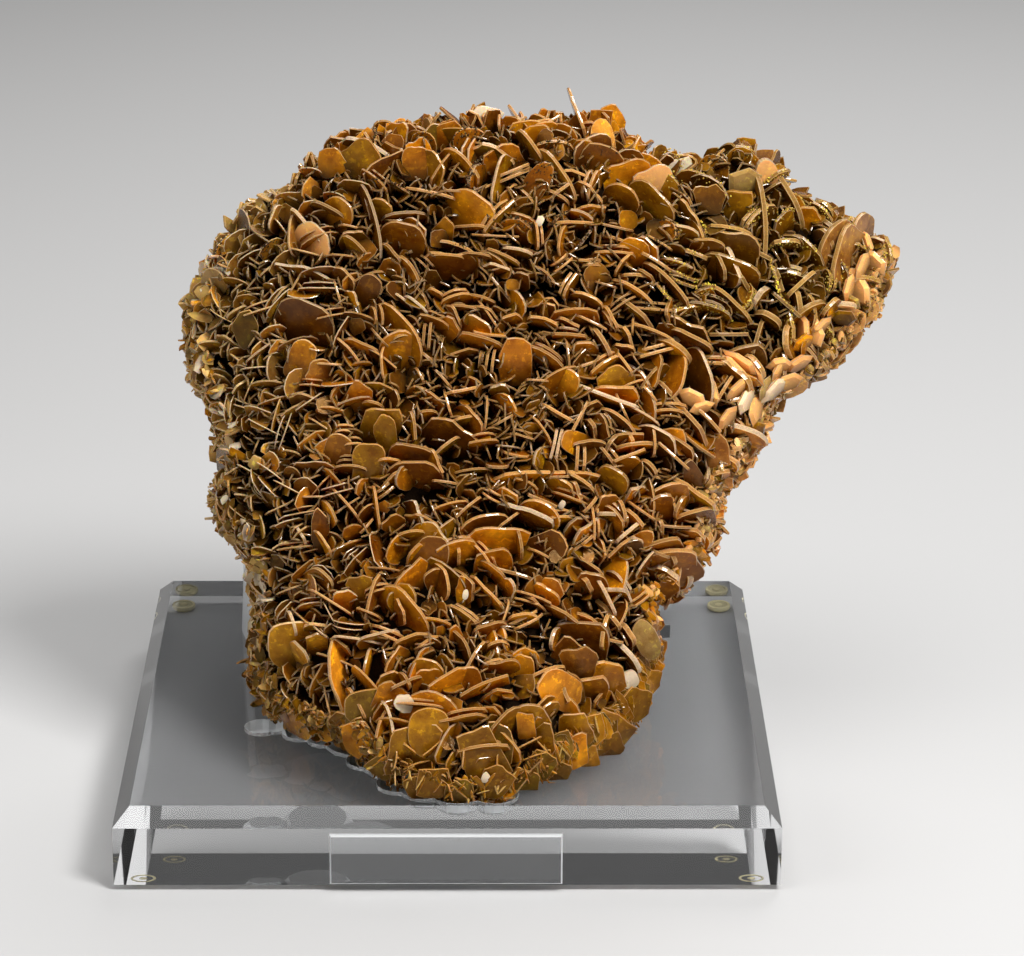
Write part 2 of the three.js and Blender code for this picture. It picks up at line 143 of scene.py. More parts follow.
# Larger crystals, one row each: the middle of the visible edge (u, v), its length and bearing in
# degrees, how far the face turns to the front in degrees, half the plate's depth, its thickness,
# and its colour where it stands out from those around it
# Among the colours, white paints a glint of the lights on a face, and rim, white and peach paint a
# highlight on the rim.
LARGE_CRYSTALS = [
    # top
    (44, 207, 17, -71, 0, 6, 1.3), (54.5, 215, 10, 6, 64, 7.5, 1.2, "orange"),
    (47, 201, 14, -22, 40, 9, 1.2), (58, 194, 17, 15, 48, 9, 1.2), (66, 192, 14, 23, 60, 8, 1.4, "peach"),
    (38, 190, 23, -56, 28, 11, 1.4), (47, 185, 14, -39, 28, 8, 1.2), (59, 185, 13, -27, 35, 9, 1.2),
    (70, 183, 19, -46, 38, 11, 1.3), (81, 177, 14, -57, 30, 10, 1.3), (86, 187, 11, 8, 66, 6, 1.2),
    (12, 214, 13, 3, 66, 6, 1.2, "white"), (-25, 199, 21, -26, 22, 9, 1.8, "rim"),
    (-35, 198, 12, -40, 60, 6.5, 1.2, "orange"), (-24, 198, 12, -56, 60, 7, 1.2, "gold"),
    (-11, 198, 9, 0, 70, 6, 1), (6, 193, 17, -47, 30, 10, 1.4), (12, 180, 19, -46, 45, 11, 1.4, "orange"),
    (-24, 174, 28, -76, 20, 10, 1.2), (-13, 172, 16, -22, 42, 9, 1.2), (-53, 170, 15, 85, 35, 7, 1.2),
    (-45, 171, 20, -50, 14, 9, 1.4), (-31, 171, 13, 2, 35, 8, 1.2), (-39, 178, 14, -28, 14, 7, 1.2),
    (-45, 158, 26, -25, 26, 12, 1.2, "rim"), (2, 164, 20, 2, 38, 14, 1.3, "brown"),
    (17, 159, 15, -13, 22, 9, 1.2), (30, 206, 12, -9, 58, 9, 1.3), (15, 187, 19, 76, 25, 9, 1.2),
    # arm
    (105, 175, 38, -88, 12, 16, 1.9), (115, 185, 26, -62, 16, 12, 2.2),
    (98, 186, 13, -22, 50, 9, 1.6, "gold"), (95, 171, 19, -8, 48, 13, 1.6),
    (73, 154, 22, -46, 12, 11, 1.4), (62, 151, 18, -33, 14, 10, 1.3), (63, 144, 22, -38, 14, 12, 1.8),
    (93, 150, 25, -36, 20, 13, 1.6), (51, 134, 14, -59, 12, 9, 1.8), (81, 141, 18, -21, 38, 11, 1.5),
    (75, 133, 15, -31, 18, 9, 2.2), (81, 136, 17, -27, 20, 10, 1.6), (98, 134, 19, 4, 40, 13, 1.8),
    (112, 135, 12, 90, 20, 8, 2.6), (96, 160, 18, -75, 22, 9, 1.8),
    (105, 196, 8, 21, 50, 9, 2.2, "peach"), (126, 170, 19, 62, 35, 9, 2), (130, 165, 22, 75, 30, 10, 2),
    (136, 173, 16, 73, 30, 8, 2), (140, 174, 13, -65, 22, 7, 2.4), (119, 146, 15, 32, 18, 8, 2.2),
    # middle
    (79, 111, 31, -50, 16, 13, 1.8), (79, 87, 26, -30, 18, 12, 1.7), (93, 97, 15, -39, 14, 9, 1.9),
    (97, 106, 21, -16, 20, 9, 2.2, "rim"), (56, 120, 20, -12, 34, 12, 1.5),
    (67, 120, 23, -63, 34, 11, 1.4), (78, 122, 18, -106, 38, 8, 1.5), (87, 123, 22, -75, 38, 9, 1.6),
    (96, 125, 16, -43, 28, 8, 2.8), (103, 127, 11, -53, 26, 7, 2.4), (71, 104, 17, -38, 36, 11, 1.5),
    (77, 102, 20, -40, 30, 12, 1.5), (57, 109, 16, -35, 24, 10, 1.3),
    (-44, 146, 21, -31, 45, 11, 1.3, "brown"), (-12, 138, 26, -56, 34, 13, 1.3),
    (-14, 137, 17, -6, 48, 12, 1.3, "orange"), (-28, 133, 13, -23, 24, 8, 1.1),
    (-22, 126, 14, 92, 16, 9, 1.1), (-45, 128, 10, 27, 55, 7, 1),
    (-20, 113, 17, -17, 50, 11, 1.2, "gold"), (2, 108, 23, -23, 40, 14, 1.3),
    (-26, 100, 11, -2, 62, 8, 1.1, "gold"), (-10, 94, 20, -8, 36, 14, 1.2), (28, 92, 45, 5, 28, 19, 1.5),
    (27, 78, 21, -22, 20, 13, 1.8, "rim"), (32, 80, 15, -30, 40, 9, 1.5, "orange"),
    (14, 74, 26, 8, 44, 13, 1.3), (-2, 69, 12, -29, 66, 9, 1.2), (14, 66, 17, 4, 40, 11, 1.2),
    (43, 72, 17, 48, 34, 11, 1.4), (47, 59, 15, 0, 42, 11, 1.5), (59, 55, 18, -105, 48, 8, 1.4, "orange"),
    (33, 54, 17, -24, 40, 11, 1.3), (73, 65, 21, 7, 28, 12, 1.8), (81, 78, 15, 17, 22, 10, 1.6),
    (80, 59, 12, -66, 24, 8, 3),
    # lip
    (44, 43, 26, -10, 42, 17, 1.5), (-25, 52, 27, 73, 18, 13, 1.3), (-10, 47, 25, -53, 36, 12, 1.4),
    (-38, 23, 31, 96, 38, 15, 1.5), (-51, 42, 19, 4, 52, 11, 1.2), (-43, 41, 12, -3, 16, 8, 1.2),
    (-23, 38, 15, 13, 26, 9, 1.2), (-6, 29, 15, 3, 58, 13, 1.2), (7, 33, 18, -66, 20, 10, 1.2),
    (-18, 23, 13, -9, 52, 10, 1.1), (-26, 20, 17, 7, 62, 7, 1, "olive"),
    (-14, 19, 8, 0, 66, 4, 1, "white"), (-33, 12, 10, -30, 40, 6, 1, "bronze"),
    (-1, 18, 21, -28, 52, 15, 1.2), (-6, 14, 14, 3, 66, 9, 1, "gold"), (26, 15, 15, 4, 48, 9, 1.3),
    (42, 34, 13, 12, 58, 7, 1.2), (59, 32, 17, -47, 16, 9, 2.2, "rim"),
    (63, 42, 8, 24, 64, 8, 1.2, "straw"), (47, 24, 15, -2, 38, 9, 1.6),
]

# The smaller crystals that stand out, in the same way
SMALLER_CRYSTALS = [
    # top
    (-33, 179, 12, -51, 40, 8, 1.1, "orange"), (-59, 176, 10, 70, 25, 6, 1), (-14, 171, 8, -56, 14, 6, 1),
    (-21, 180, 8, -30, 40, 7, 1.1), (0, 175, 8, -13, 45, 8, 1.1, "orange"), (10, 172, 23, -4, 12, 9, 1.1),
    (0, 162, 12, -3, 15, 7, 1.1), (18, 162, 13, -23, 12, 8, 1.1), (-30, 166, 11, -42, 20, 8, 1.2),
    (-18, 163, 10, -48, 15, 8, 1.2), (-12, 158, 13, -54, 25, 9, 1.4), (-33, 156, 11, -45, 30, 8, 1.2),
    (-24, 155, 8, -29, 50, 7, 1.1), (-41, 170, 14, -51, 48, 7, 1.1, "peach"),
    (-30, 149, 7, -61, 30, 6, 1), (-10, 146, 11, -40, 12, 8, 1.1, "rim"), (3, 143, 10, -55, 20, 8, 1.2),
    (-4, 150, 6, -27, 12, 6, 1), (5, 145, 10, -7, 10, 7, 1), (11, 141, 12, -32, 45, 9, 1.2, "orange"),
    (11, 135, 16, -15, 20, 10, 1.2), (13, 145, 12, -25, 30, 9, 1.2), (25, 133, 9, -12, 50, 9, 1.2),
    (-15, 134, 14, 2, 12, 8, 1.1), (-28, 121, 10, -10, 50, 8, 1.1), (-20, 111, 9, -3, 60, 9, 1, "gold"),
    (9, 109, 13, -56, 30, 9, 1.2), (-37, 119, 9, 44, 25, 8, 1.1), (-47, 117, 12, -12, 30, 7, 1),
    (-60, 126, 12, 82, 35, 6, 0.9), (-69, 121, 10, 36, 15, 6, 0.9), (-63, 131, 12, 37, 10, 6, 0.8),
    (-73, 136, 10, -30, 20, 6, 0.8), (-79, 135, 11, -4, 25, 6, 0.9), (-71, 145, 8, 31, 12, 6, 0.8),
    (-66, 145, 9, -16, 65, 7, 0.9, "olive"), (-76, 158, 10, -44, 35, 7, 1, "straw"),
    (-56, 150, 10, 51, 12, 6, 0.8), (-59, 159, 9, 32, 10, 6, 0.8), (-54, 134, 9, -38, 30, 7, 1),
    (-46, 134, 9, -25, 60, 8, 1, "orange"), (-13, 205, 10, -58, 45, 8, 1.1, "orange"),
    (5, 205, 11, -39, 45, 9, 1.1, "gold"), (-7, 205, 9, 47, 55, 8, 1, "olive"),
    (-11, 201, 9, 15, 65, 8, 1.1, "orange"), (-2, 192, 14, -69, 40, 9, 1.1, "gold"),
    (16, 198, 19, -16, 35, 9, 1.8, "olive"), (27, 208, 14, -3, 66, 10, 1.2, "orange"),
    (28, 199, 14, -53, 15, 8, 1.4),
    # arm
    (36, 182, 10, -28, 12, 8, 1.2), (46, 179, 11, 8, 25, 7, 1.1), (41, 173, 17, 0, 12, 8, 1.2),
    (58, 167, 22, -20, 10, 9, 1.1), (41, 161, 14, -3, 12, 8, 1.1), (57, 160, 11, 53, 10, 8, 1.1),
    (77, 172, 15, -12, 30, 9, 1.3), (68, 166, 13, -44, 35, 9, 1.3, "orange"),
    (66, 156, 9, -34, 12, 8, 1.2), (86, 168, 12, -5, 30, 8, 1.3), (95, 162, 22, -20, 35, 10, 1.5),
    (98, 155, 11, -44, 12, 8, 1.8), (91, 159, 10, -71, 10, 7, 1.4), (103, 150, 9, 54, 15, 7, 2.4),
    (107, 143, 10, -30, 15, 7, 2.4), (110, 157, 12, -64, 20, 8, 2), (117, 154, 14, 44, 12, 8, 1.8),
    (117, 148, 9, -80, 15, 7, 2.2), (123, 181, 12, -25, 50, 8, 1.8, "orange"),
    (130, 174, 15, -53, 20, 8, 2), (128, 170, 10, -62, 20, 7, 1.8), (138, 176, 8, -55, 25, 7, 1.6),
    (127, 147, 9, 50, 20, 7, 2), (132, 148, 10, 0, 15, 7, 2.2, "peach"), (70, 124, 14, -100, 34, 8, 1.3),
    (55, 127, 12, 4, 60, 9, 1.2, "gold"), (52, 116, 24, -20, 10, 9, 1.5, "rim"),
    (42, 123, 10, -50, 45, 8, 1.2, "orange"), (60, 136, 13, -55, 20, 9, 1.5),
    (72, 145, 10, 84, 15, 7, 1.4), (54, 142, 10, -61, 12, 8, 1.3), (40, 136, 12, -4, 15, 7, 1.2),
    (39, 141, 10, -21, 15, 7, 1.2),
    # middle
    (-35, 103, 9, -16, 55, 7, 1), (-10, 99, 18, -14, 35, 10, 1.3), (-3, 96, 12, -61, 30, 8, 1.3),
    (-40, 89, 18, 46, 5, 8, 0.6), (-18, 90, 13, 32, 20, 8, 1.2), (-33, 80, 17, -50, 8, 9, 1),
    (-23, 79, 15, -81, 10, 9, 1), (-38, 78, 10, -61, 25, 8, 1.1), (-42, 79, 7, 0, 62, 9, 1.1, "brown"),
    (-48, 70, 8, -61, 10, 7, 1.2, "rim"), (-40, 67, 13, -58, 12, 8, 1), (-40, 57, 11, -46, 30, 9, 1.3),
    (-9, 77, 11, -73, 25, 9, 1.3, "rim"), (-2, 71, 14, -51, 50, 10, 1.3, "orange"),
    (-12, 65, 12, 40, 25, 9, 1.2), (4, 64, 11, -87, 8, 8, 1.3), (10, 76, 19, 20, 35, 11, 1.3),
    (24, 67, 12, -81, 10, 9, 1.2), (16, 59, 12, -40, 20, 8, 1.2), (22, 53, 12, -62, 25, 9, 1.4),
    (0, 55, 13, -78, 30, 9, 1.4), (-6, 58, 8, 35, 40, 8, 1.2), (9, 54, 15, -70, 35, 9, 1.4),
    (5, 58, 6, 0, 62, 9, 1.1, "orange"), (56, 91, 12, -35, 35, 8, 1.5), (59, 96, 10, 4, 35, 8, 1.4),
    (38, 88, 10, -27, 35, 8, 1.4), (43, 86, 9, -63, 25, 7, 1.6), (48, 106, 8, -64, 15, 7, 1.7),
    (46, 101, 12, 7, 30, 8, 1.3), (53, 100, 10, 56, 10, 7, 1.6), (62, 100, 15, 5, 10, 8, 1.5),
    (61, 101, 10, -71, 15, 7, 1.5), (37, 102, 8, 70, 50, 8, 1.3, "orange"), (67, 93, 8, -46, 20, 8, 1.6),
    (78, 95, 7, 31, 45, 8, 1.6), (89, 91, 12, 19, 15, 7, 1.8), (76, 80, 9, 64, 15, 7, 1.6),
    (50, 83, 11, 39, 45, 9, 1.3), (61, 86, 10, 27, 25, 8, 1.4), (58, 78, 9, -75, 20, 8, 1.5),
    (62, 76, 9, -46, 20, 8, 1.5), (70, 83, 8, 13, 35, 8, 1.5), (42, 76, 13, 31, 30, 10, 1.4),
    (52, 77, 8, 0, 10, 8, 1.6), (59, 71, 11, 41, 8, 7, 1.5), (57, 67, 14, 38, 12, 8, 1.3),
    (62, 69, 7, -7, 15, 7, 1.4), (71, 73, 8, -70, 15, 7, 1.6), (81, 72, 11, -12, 25, 8, 1.8),
    (74, 64, 9, -58, 15, 7, 1.8), (70, 68, 15, 14, 20, 8, 1.6), (75, 64, 18, 22, 40, 9, 1.8),
    (73, 59, 13, -20, 28, 6, 2.4, "amber"), (87, 71, 9, -58, 30, 6, 3, "orange"),
    # foot
    (-14, 45, 11, -72, 20, 8, 1.1), (-19, 51, 7, 40, 50, 8, 1.1), (-34, 52, 10, 11, 40, 8, 1.1),
    (-38, 48, 18, -32, 8, 8, 0.9), (-51, 41, 9, -73, 10, 7, 1.3), (-43, 38, 9, 0, 35, 7, 1.1),
    (-47, 32, 10, -57, 20, 8, 1.2), (-34, 34, 10, -38, 15, 7, 1), (-29, 36, 18, -10, 15, 8, 1),
    (-27, 28, 10, 79, 10, 7, 1), (-12, 37, 14, 17, 20, 8, 1.2), (1, 41, 6, 21, 50, 9, 1.1),
    (-5, 29, 12, -23, 50, 9, 1.2), (6, 27, 9, 10, 50, 9, 1.2), (-20, 26, 11, 13, 45, 9, 1.2),
    (-13, 23, 7, -60, 15, 8, 1.1), (-29, 15, 13, -62, 10, 8, 1.2), (-22, 9, 12, 68, 30, 9, 1.3, "orange"),
    (16, 20, 14, 9, 25, 8, 1.2), (17, 30, 13, 3, 35, 8, 1.2), (13, 41, 13, 17, 30, 9, 1.2),
    (24, 44, 12, 8, 25, 8, 1.2), (30, 23, 12, 60, 50, 10, 1.3), (46, 55, 11, -53, 12, 8, 1.9),
    (52, 51, 17, -61, 10, 9, 1.5), (54, 44, 13, -52, 12, 9, 1.8, "straw"), (55, 52, 9, -4, 12, 7, 1.6),
    (28, 49, 8, -34, 10, 7, 1.2), (51, 38, 12, 80, 8, 8, 1.7), (60, 38, 10, -55, 15, 7, 2.2),
    (42, 37, 15, -12, 60, 12, 1.3, "brown"), (34, 36, 8, 77, 10, 7, 1.6), (16, 35, 8, 10, 25, 8, 1.3),
    (17, 29, 13, 8, 30, 8, 1.2), (25, 31, 9, -11, 60, 9, 1.1, "orange"), (39, 26, 8, 20, 50, 9, 1.3),
    (38, 21, 12, -63, 20, 8, 1.6), (51, 29, 14, 20, 45, 9, 1.6, "orange"),
    # small faces painted pale as glints of the lights
    (31, 175, 3, -23, 70, 2, 1, "white"), (6, 52, 2, -8, 70, 1.8, 1, "white"),
    (13, -7, 3, -19, 72, 2, 1, "white"), (59, 25, 6, 22, 70, 3.2, 2, "white"),
    (-63, 96, 4, -31, 60, 2.5, 1, "straw"), (38, 81, 2, -26, 60, 1.5, 1, "white"),
    # thin splinters on the foot
    (-12, 1, 7, -38, 15, 3, 0.5, "gold"), (-5, 1, 9, 41, 15, 3, 0.5, "gold"),
    (-13, 2, 9, -37, 12, 3, 0.5, "gold"), (5, -2, 8, 86, 15, 3, 0.6, "gold"),
    (16, -3, 10, 86, 15, 4, 0.6, "gold"), (25, 2, 12, 28, 12, 4, 0.6, "gold"),
    (28, -2, 10, 19, 12, 3, 0.5, "gold"), (31, 1, 11, -50, 12, 4, 0.6, "gold"),
    (39, -2, 8, -76, 15, 3, 0.6, "olive"), (52, 4, 8, -61, 15, 4, 0.7, "olive"),
    (44, 4, 9, 68, 20, 4, 0.7, "olive"), (34, -4, 7, -46, 15, 3, 0.6, "olive"),
    (-10, -4, 9, 18, 20, 3, 0.6, "gold"), (-18, -2, 7, -61, 20, 4, 0.7, "orange"),
    (11, -2, 8, 20, 30, 4, 0.6, "gold"), (0, -2, 9, 65, 30, 4, 0.7, "gold"),
    (58, 12, 8, -61, 25, 4, 0.8, "olive"), (-26, 6, 8, -61, 20, 4, 0.8, "orange"),
    (29, 11, 6, 23, 30, 5, 1, "orange"), (16, 14, 7, -34, 30, 5, 1, "orange"),
    # spike
    (42, 213, 15, -73, 0, 5, 1.1),
]

# Broken sheets that wall the foot, in the same way
BROKEN_SHEETS = [
    (-10, 8, 19, -6, 62, 10, 0.9, "gold"), (-27, 9, 11, -30, 50, 8, 1, "orange"),
    (-18, 9, 15, -78, 12, 6, 1.2, "rim"), (-4.5, -5, 12, 2, 64, 6.5, 0.9, "bronze"),
    (7.5, 8, 14, 20, 60, 13, 0.9, "bronze"), (17, 10, 15, -10, 58, 10, 0.8, "olive"),
    (25, 13, 7, 0, 60, 6, 0.9, "orange"), (32.5, 7, 13, -30, 54, 8, 0.9, "gold"),
    (29, 0, 13, 8, 62, 6, 0.9, "olive"), (41, 13, 15, 4, 54, 10, 1.0, "gold"),
    (40, 4, 12, 12, 56, 7, 0.9, "orange"), (50, 11, 13, 36, 46, 10, 0.9, "gold"),
    (58, 18, 14, 50, 42, 9, 1.0, "bronze"), (51, 3, 12, 38, 46, 6, 0.8, "bronze"),
    (64, 24, 10, 58, 40, 7, 0.9, "gold"), (-19, -3, 10, -34, 60, 4.5, 0.9, "olive"),
    (-9, -8, 10, -10, 62, 5, 0.9, "bronze"), (16, -5, 12, -8, 64, 6, 0.8, "bronze"),
    (25, -6, 11, 6, 62, 5, 0.8, "olive"), (35, -4, 11, 14, 58, 5, 0.8, "bronze"),
    (44, -1, 11, 24, 54, 5, 0.8, "gold"), (4, -9, 10, -6, 64, 4.5, 0.8, "olive"),
    # the white sheet high on the right paints a reflection of the lights
    (75.5, 197, 12, 11, 62, 6.5, 1.0, "white"), (73, 57, 10, -5, 40, 6, 3, "amber"),
]

# Thick milky crystals along the arm's lower edge, in the same way
MILKY_CRYSTALS = [
    (96, 126, 20, -44, 22, 5, 3.0, "peach"), (98, 129, 15, -37, 30, 4, 2.6, "peach"),
    (103, 126, 15, -60, 24, 4, 2.6, "peach"), (110, 129, 10, 9, 32, 4, 3, "peach"),
    (116, 129, 11, 29, 26, 4, 3, "peach"), (117, 136, 10, 35, 30, 4, 2.4, "orange"),
    (82, 118, 11, -27, 50, 4, 2.4, "peach"), (83, 114, 10, 19, 40, 3, 2.4, "peach"),
    (97, 116, 11, 67, 34, 4, 2.6, "pearl"), (107, 120, 13, 44, 34, 3.6, 2.8, "pearl"),
    (95, 120, 12, 38, 28, 4, 2.6, "peach"), (101, 107, 9, 33, 40, 4, 2, "bronze"),
    (136, 151, 9, -27, 40, 4, 2.2, "straw"), (133, 146, 10, -7, 40, 4, 2.2, "bronze"),
    (109, 126, 11, 60, 20, 4, 2.4, "peach"), (118, 135, 10, 73, 20, 4, 2.4, "orange"),
    (133, 154, 11, 75, 20, 5, 2.6, "peach"), (138, 162, 12, 66, 24, 4, 2.6, "peach"),
    (89, 118, 14, -74, 24, 5, 2.4, "peach"), (104, 120, 10, 67, 24, 4, 2.2, "straw"),
    (124, 141, 10, 48, 20, 4, 2.6, "peach"), (127, 146, 9, 80, 18, 4, 2.2, "orange"),
    (100, 123, 11, -20, 22, 4, 2.2, "orange"), (91, 110, 10, 52, 30, 4, 2.4, "peach"),
    (97, 192, 14, 24, 52, 6, 1.6, "straw"), (125, 140, 12, -61, 55, 4.5, 3.6, "peach"),
    (141, 157, 17, -55, 50, 5.5, 4.4, "peach"), (146, 165, 11, -48, 50, 4, 3.6, "peach"),
    (120, 139, 13, -86, 24, 4, 2.6, "peach"), (143, 170, 12, -70, 34, 4, 3, "peach"),
    (113, 124, 10, 18, 44, 4, 2.6, "peach"), (100, 113, 12, 80, 40, 4, 2.6, "peach"),
]

# Small broken pieces on the stone's rim, one row for each stretch of it: first and last bearing from
# the heart, how many, their half lengths, their breadths as shares of these, their thicknesses, how
# far they are thrown about, how far they are drawn out down the wall, how far off it they lie, and
# their tones
RUBBLE = [
    (-2.4, -1.8, 560, (1.3, 3.8), (0.2, 0.6), (0.3, 0.7), 0.7, 0.6, 2.5,
     ("bronze", "gold", "olive", "straw", "gold")),
    (-1.88, -1.36, 120, (1.4, 3.6), (0.2, 0.5), (0.3, 0.6), 0.5, 1.0, 2,
     ("bronze", "gold", "olive", "gold")),
    (-1.88, -1.36, 200, (2.0, 5.5), (0.04, 0.12), (0.3, 0.5), 0.6, 0.6, 5,
     ("gold", "straw", "orange", "bronze")),
    (-1.42, -0.9, 300, (3.0, 6.5), (0.4, 0.7), (0.5, 1.0), 0.12, 1.6, 1.5,
     ("gold", "bronze", "gold", "olive", "orange")),
    (-1.42, -0.9, 700, (2.0, 5.5), (0.05, 0.14), (0.3, 0.6), 0.14, 1.8, 3,
     ("gold", "straw", "orange", "bronze")),
    (-0.9, -0.5, 170, (2.0, 4.6), (0.2, 0.6), (0.5, 1.2), 0.4, 1.0, 0,
     ("gold", "peach", "bronze", "orange")),
    (-0.5, 0.42, 520, (0.9, 2.8), (0.3, 1), (0.6, 1.8), 1.2, 0, 0,
     ("peach", "straw", "bronze", "olive", "straw", "peach")),
    # here the white pieces paint glints of the lights
    (2.55, 3.9, 360, (1.6, 4.6), (0.15, 0.8), (0.3, 0.7), 1.0, 0, 1,
     ("straw", "bronze", "gold", "olive", "straw", "white")),
]

# ------------------------------------------------------------------ the stage, in metres

# Lights: a name, the length of a side, the place
LIGHTS = (
    ("key", 0.5, (0.7, -0.8, 1.35)), ("top", 0.9, (-0.05, -0.5, 1.5)), ("fill", 0.9, (-1.2, -0.6, 0.9)),
    ("back", 0.8, (0.3, 0.9, 1.2)),
)
LIGHTS_AIM = Vector((0, 0, 0.12))

# The camera: its place from the block's middle, its turns in radians, its lens in millimetres, and
# how far it sees in metres
EYE = (0.01003, -1.25741, 0.57059)
PITCH, YAW, ROLL = 0.355016884, 0.00900946808, 0.00370246502
FOCAL_LENGTH, SENSOR_WIDTH, VIEW_DEPTH = 138.91, 36, 30


# ------------------------------------------------------------------ settings


def colour(name, description, default):
    return bpy.props.FloatVectorProperty(
        name=name, description=description, subtype="COLOR", size=3, default=default, min=0, max=1)


def length(name, description, default):
    return bpy.props.FloatProperty(name=name, description=description, default=default, unit="LENGTH")


def power(name, description, default):
    return bpy.props.FloatProperty(name=name, description=description, default=default, unit="POWER")


def factor(name, description, default):
    return bpy.props.FloatProperty(
        name=name, description=description, default=default, min=0, max=1, subtype="FACTOR")


class StageSettings(bpy.types.PropertyGroup):
    floor_colour: colour("Floor", "Colour of the floor", (0.5, 0.495, 0.49))
    floor_size: length("Floor size", "Length of each side of the floor", 9)
    key_power: power("Key light", "Power of the soft light above and to the right", 31)
    top_power: power("Top light", "Power of the broad light overhead", 10)
    fill_power: power("Fill light", "Power of the soft light on the left", 6)
    back_power: power("Back light", "Power of the light behind and above", 10)
    sky: bpy.props.FloatProperty(name="Sky", description="Brightness of the air around", default=0.06)


class StandSettings(bpy.types.PropertyGroup):
    clear_colour: colour("Acrylic", "Colour of the clear acrylic", (0.98, 0.99, 1.0))
    polish: factor("Polish", "Roughness of the polished faces", 0.015)
    frost: factor("Frost", "Roughness of the carved faces", 0.5)
    bumper_colour: colour("Bumpers", "Colour of the bumper feet", (0.9, 0.8, 0.46))


class MatrixSettings(bpy.types.PropertyGroup):
    lump_height: length("Lumps", "Height of the lumps of the rock", 0.0022)
    dark_colour: colour("Dark rock", "Colour of the rock in its hollows", (0.1, 0.055, 0.02))
    ochre_colour: colour("Ochre", "Colour of the rusty patches", (0.36, 0.21, 0.06))


class CrustSettings(bpy.types.PropertyGroup):
    spacing: length("Spacing", "Distance between crystals in the middle of the face", 0.0061)
    thickness: length("Thickness", "Thickness of a plate in the middle of the face", 0.00096)
    seed: bpy.props.IntProperty(
        name="Seed", description="Another number grows other crystals", default=41)
    amber: colour("Amber", "Colour of most faces", (0.42, 0.128, 0.005))
    brown: colour("Brown", "Colour of the darker faces", (0.2, 0.056, 0.004))
    orange: colour("Orange", "Colour of the clearest faces", (0.64, 0.225, 0.006))
    gold: colour("Gold", "Colour of the broad sheets", (0.36, 0.144, 0.005))
    bronze: colour("Bronze", "Colour of the broken sheets at the foot", (0.22, 0.086, 0.004))
    olive: colour("Olive", "Colour of the dusty faces", (0.17, 0.085, 0.008))
    peach: colour("Peach", "Colour of the thick milky crystals", (0.88, 0.43, 0.14))
    # painted glint and highlight: faces and rims of this pale colour stand for reflections of the lights
    white: colour("White", "Colour of the few pale faces", (0.86, 0.7, 0.5))
    rim: colour("Rim", "Colour of the plates' rims", (0.6, 0.29, 0.085))
    # dull rims with a painted highlight: their own dusty pale colour, made paler to stand for light on
    # them
    dull_rim_with_painted_highlight: colour("Dull rim", "Colour of the rims along the left edge", (0.96, 0.68, 0.34))
    straw: colour("Straw", "Colour of the dull broken pieces along the left edge", (0.5, 0.3, 0.09))
    pearl: colour("Pearl", "Colour of the palest milky crystals", (0.95, 0.68, 0.44))
    soot: colour("Soot", "Colour of the dark grains on the top plates", (0.045, 0.026, 0.012))
    druse: colour("Druse", "Colour of the tiny yellow crystals", (0.58, 0.37, 0.07))

    def tone(self, name):
        return np.array(getattr(self, name))


# ------------------------------------------------------------------ shape of the stone


def bell(value, middle, spread):
    return np.exp(-(((value - middle) / spread) ** 2))


def smooth(value, low, high):
    share = np.clip((value - low) / (high - low), 0, 1)
    return share * share * (3 - 2 * share)


def toward(first, second, share):
    return first * (1 - share) + second * share


def reach(bearing):
    """Distance from the heart of the face to its outline along each bearing."""
    bearing = np.atleast_1d(bearing)
    ahead = np.stack([np.cos(bearing), np.sin(bearing)], -1)[:, None]
    start = (OUTLINE - HEART)[None]
    edge = (np.roll(OUTLINE, -1, 0) - OUTLINE)[None]
    cross = ahead[..., 0] * edge[..., 1] - ahead[..., 1] * edge[..., 0]
    along = (start[..., 0] * edge[..., 1] - start[..., 1] * edge[..., 0]) / cross
    share = (start[..., 0] * ahead[..., 1] - start[..., 1] * ahead[..., 0]) / cross
    return np.where((share >= 0) & (share < 1) & (along > 0), along, 0).max(1)


def from_heart(bearing, distance):
    """The place (u, v) that lies this far from the heart along a bearing."""
    return HEART[0] + distance * np.cos(bearing), HEART[1] + distance * np.sin(bearing)


def share_of(u, v):
    """How far out from the heart a point lies, 1 on the outline."""
    du, dv = np.atleast_1d(u) - HEART[0], np.atleast_1d(v) - HEART[1]
    return np.hypot(du, dv) / reach(np.arctan2(dv, du))


def skin(u, v):
    """Height of the crystal tips over the frame's plane: a dome that juts forward at the foot."""
    flank = 0.0085 * bell(v, 5, 45)
    crest = DOME_HEIGHT + LIP_HEIGHT * bell(v, 8, 36) - (np.where(u < 0, 0.0035, 0.0014) + flank) * u * u
    roll = 1 - 0.8 * bell(v, -10, 30) * bell(u, 5, 40)
    edge = np.clip(share_of(u, v), 0, 1.05)
    return crest - roll * ROLL_DEPTH * np.maximum(0, (edge - EDGE_START) / (1 - EDGE_START)) ** 2


def crust_depth(u, v):
    """How far the rock lies below the crystal tips."""
    return CRUST_DEPTH - (CRUST_DEPTH - LIP_CRUST_DEPTH) * bell(v, -5, 22) * bell(u, 5, 45)


def rough(u, v):
    """Low waves over the rock, in millimetres."""
    return 0.9 * np.sin(0.21 * u + 1.3) * np.cos(0.17 * v + 0.4) + 0.7 * np.sin(0.43 * u + 0.37 * v)


def place(u, v, w):
    """Points in the whole model's frame, in millimetres, from the stone's own u, v and w."""
    u, v, w = (np.asarray(x, float)[..., None] for x in np.broadcast_arrays(u, v, w))
    return SEAT + u * ALONG_U + v * ALONG_V + w * ALONG_W


def place_in_stone(points):
    """The opposite of place: the stone's own u, v and w of points."""
    return ((points - SEAT) @ axis for axis in (ALONG_U, ALONG_V, ALONG_W))


def headed(bearing):
    """The direction of a bearing in the plane of the face."""
    bearing = np.asarray(bearing, float)[..., None]
    return np.cos(bearing) * ALONG_U + np.sin(bearing) * ALONG_V


def unit(vectors):
    return vectors / np.maximum(np.linalg.norm(vectors, axis=-1, keepdims=True), 1e-9)


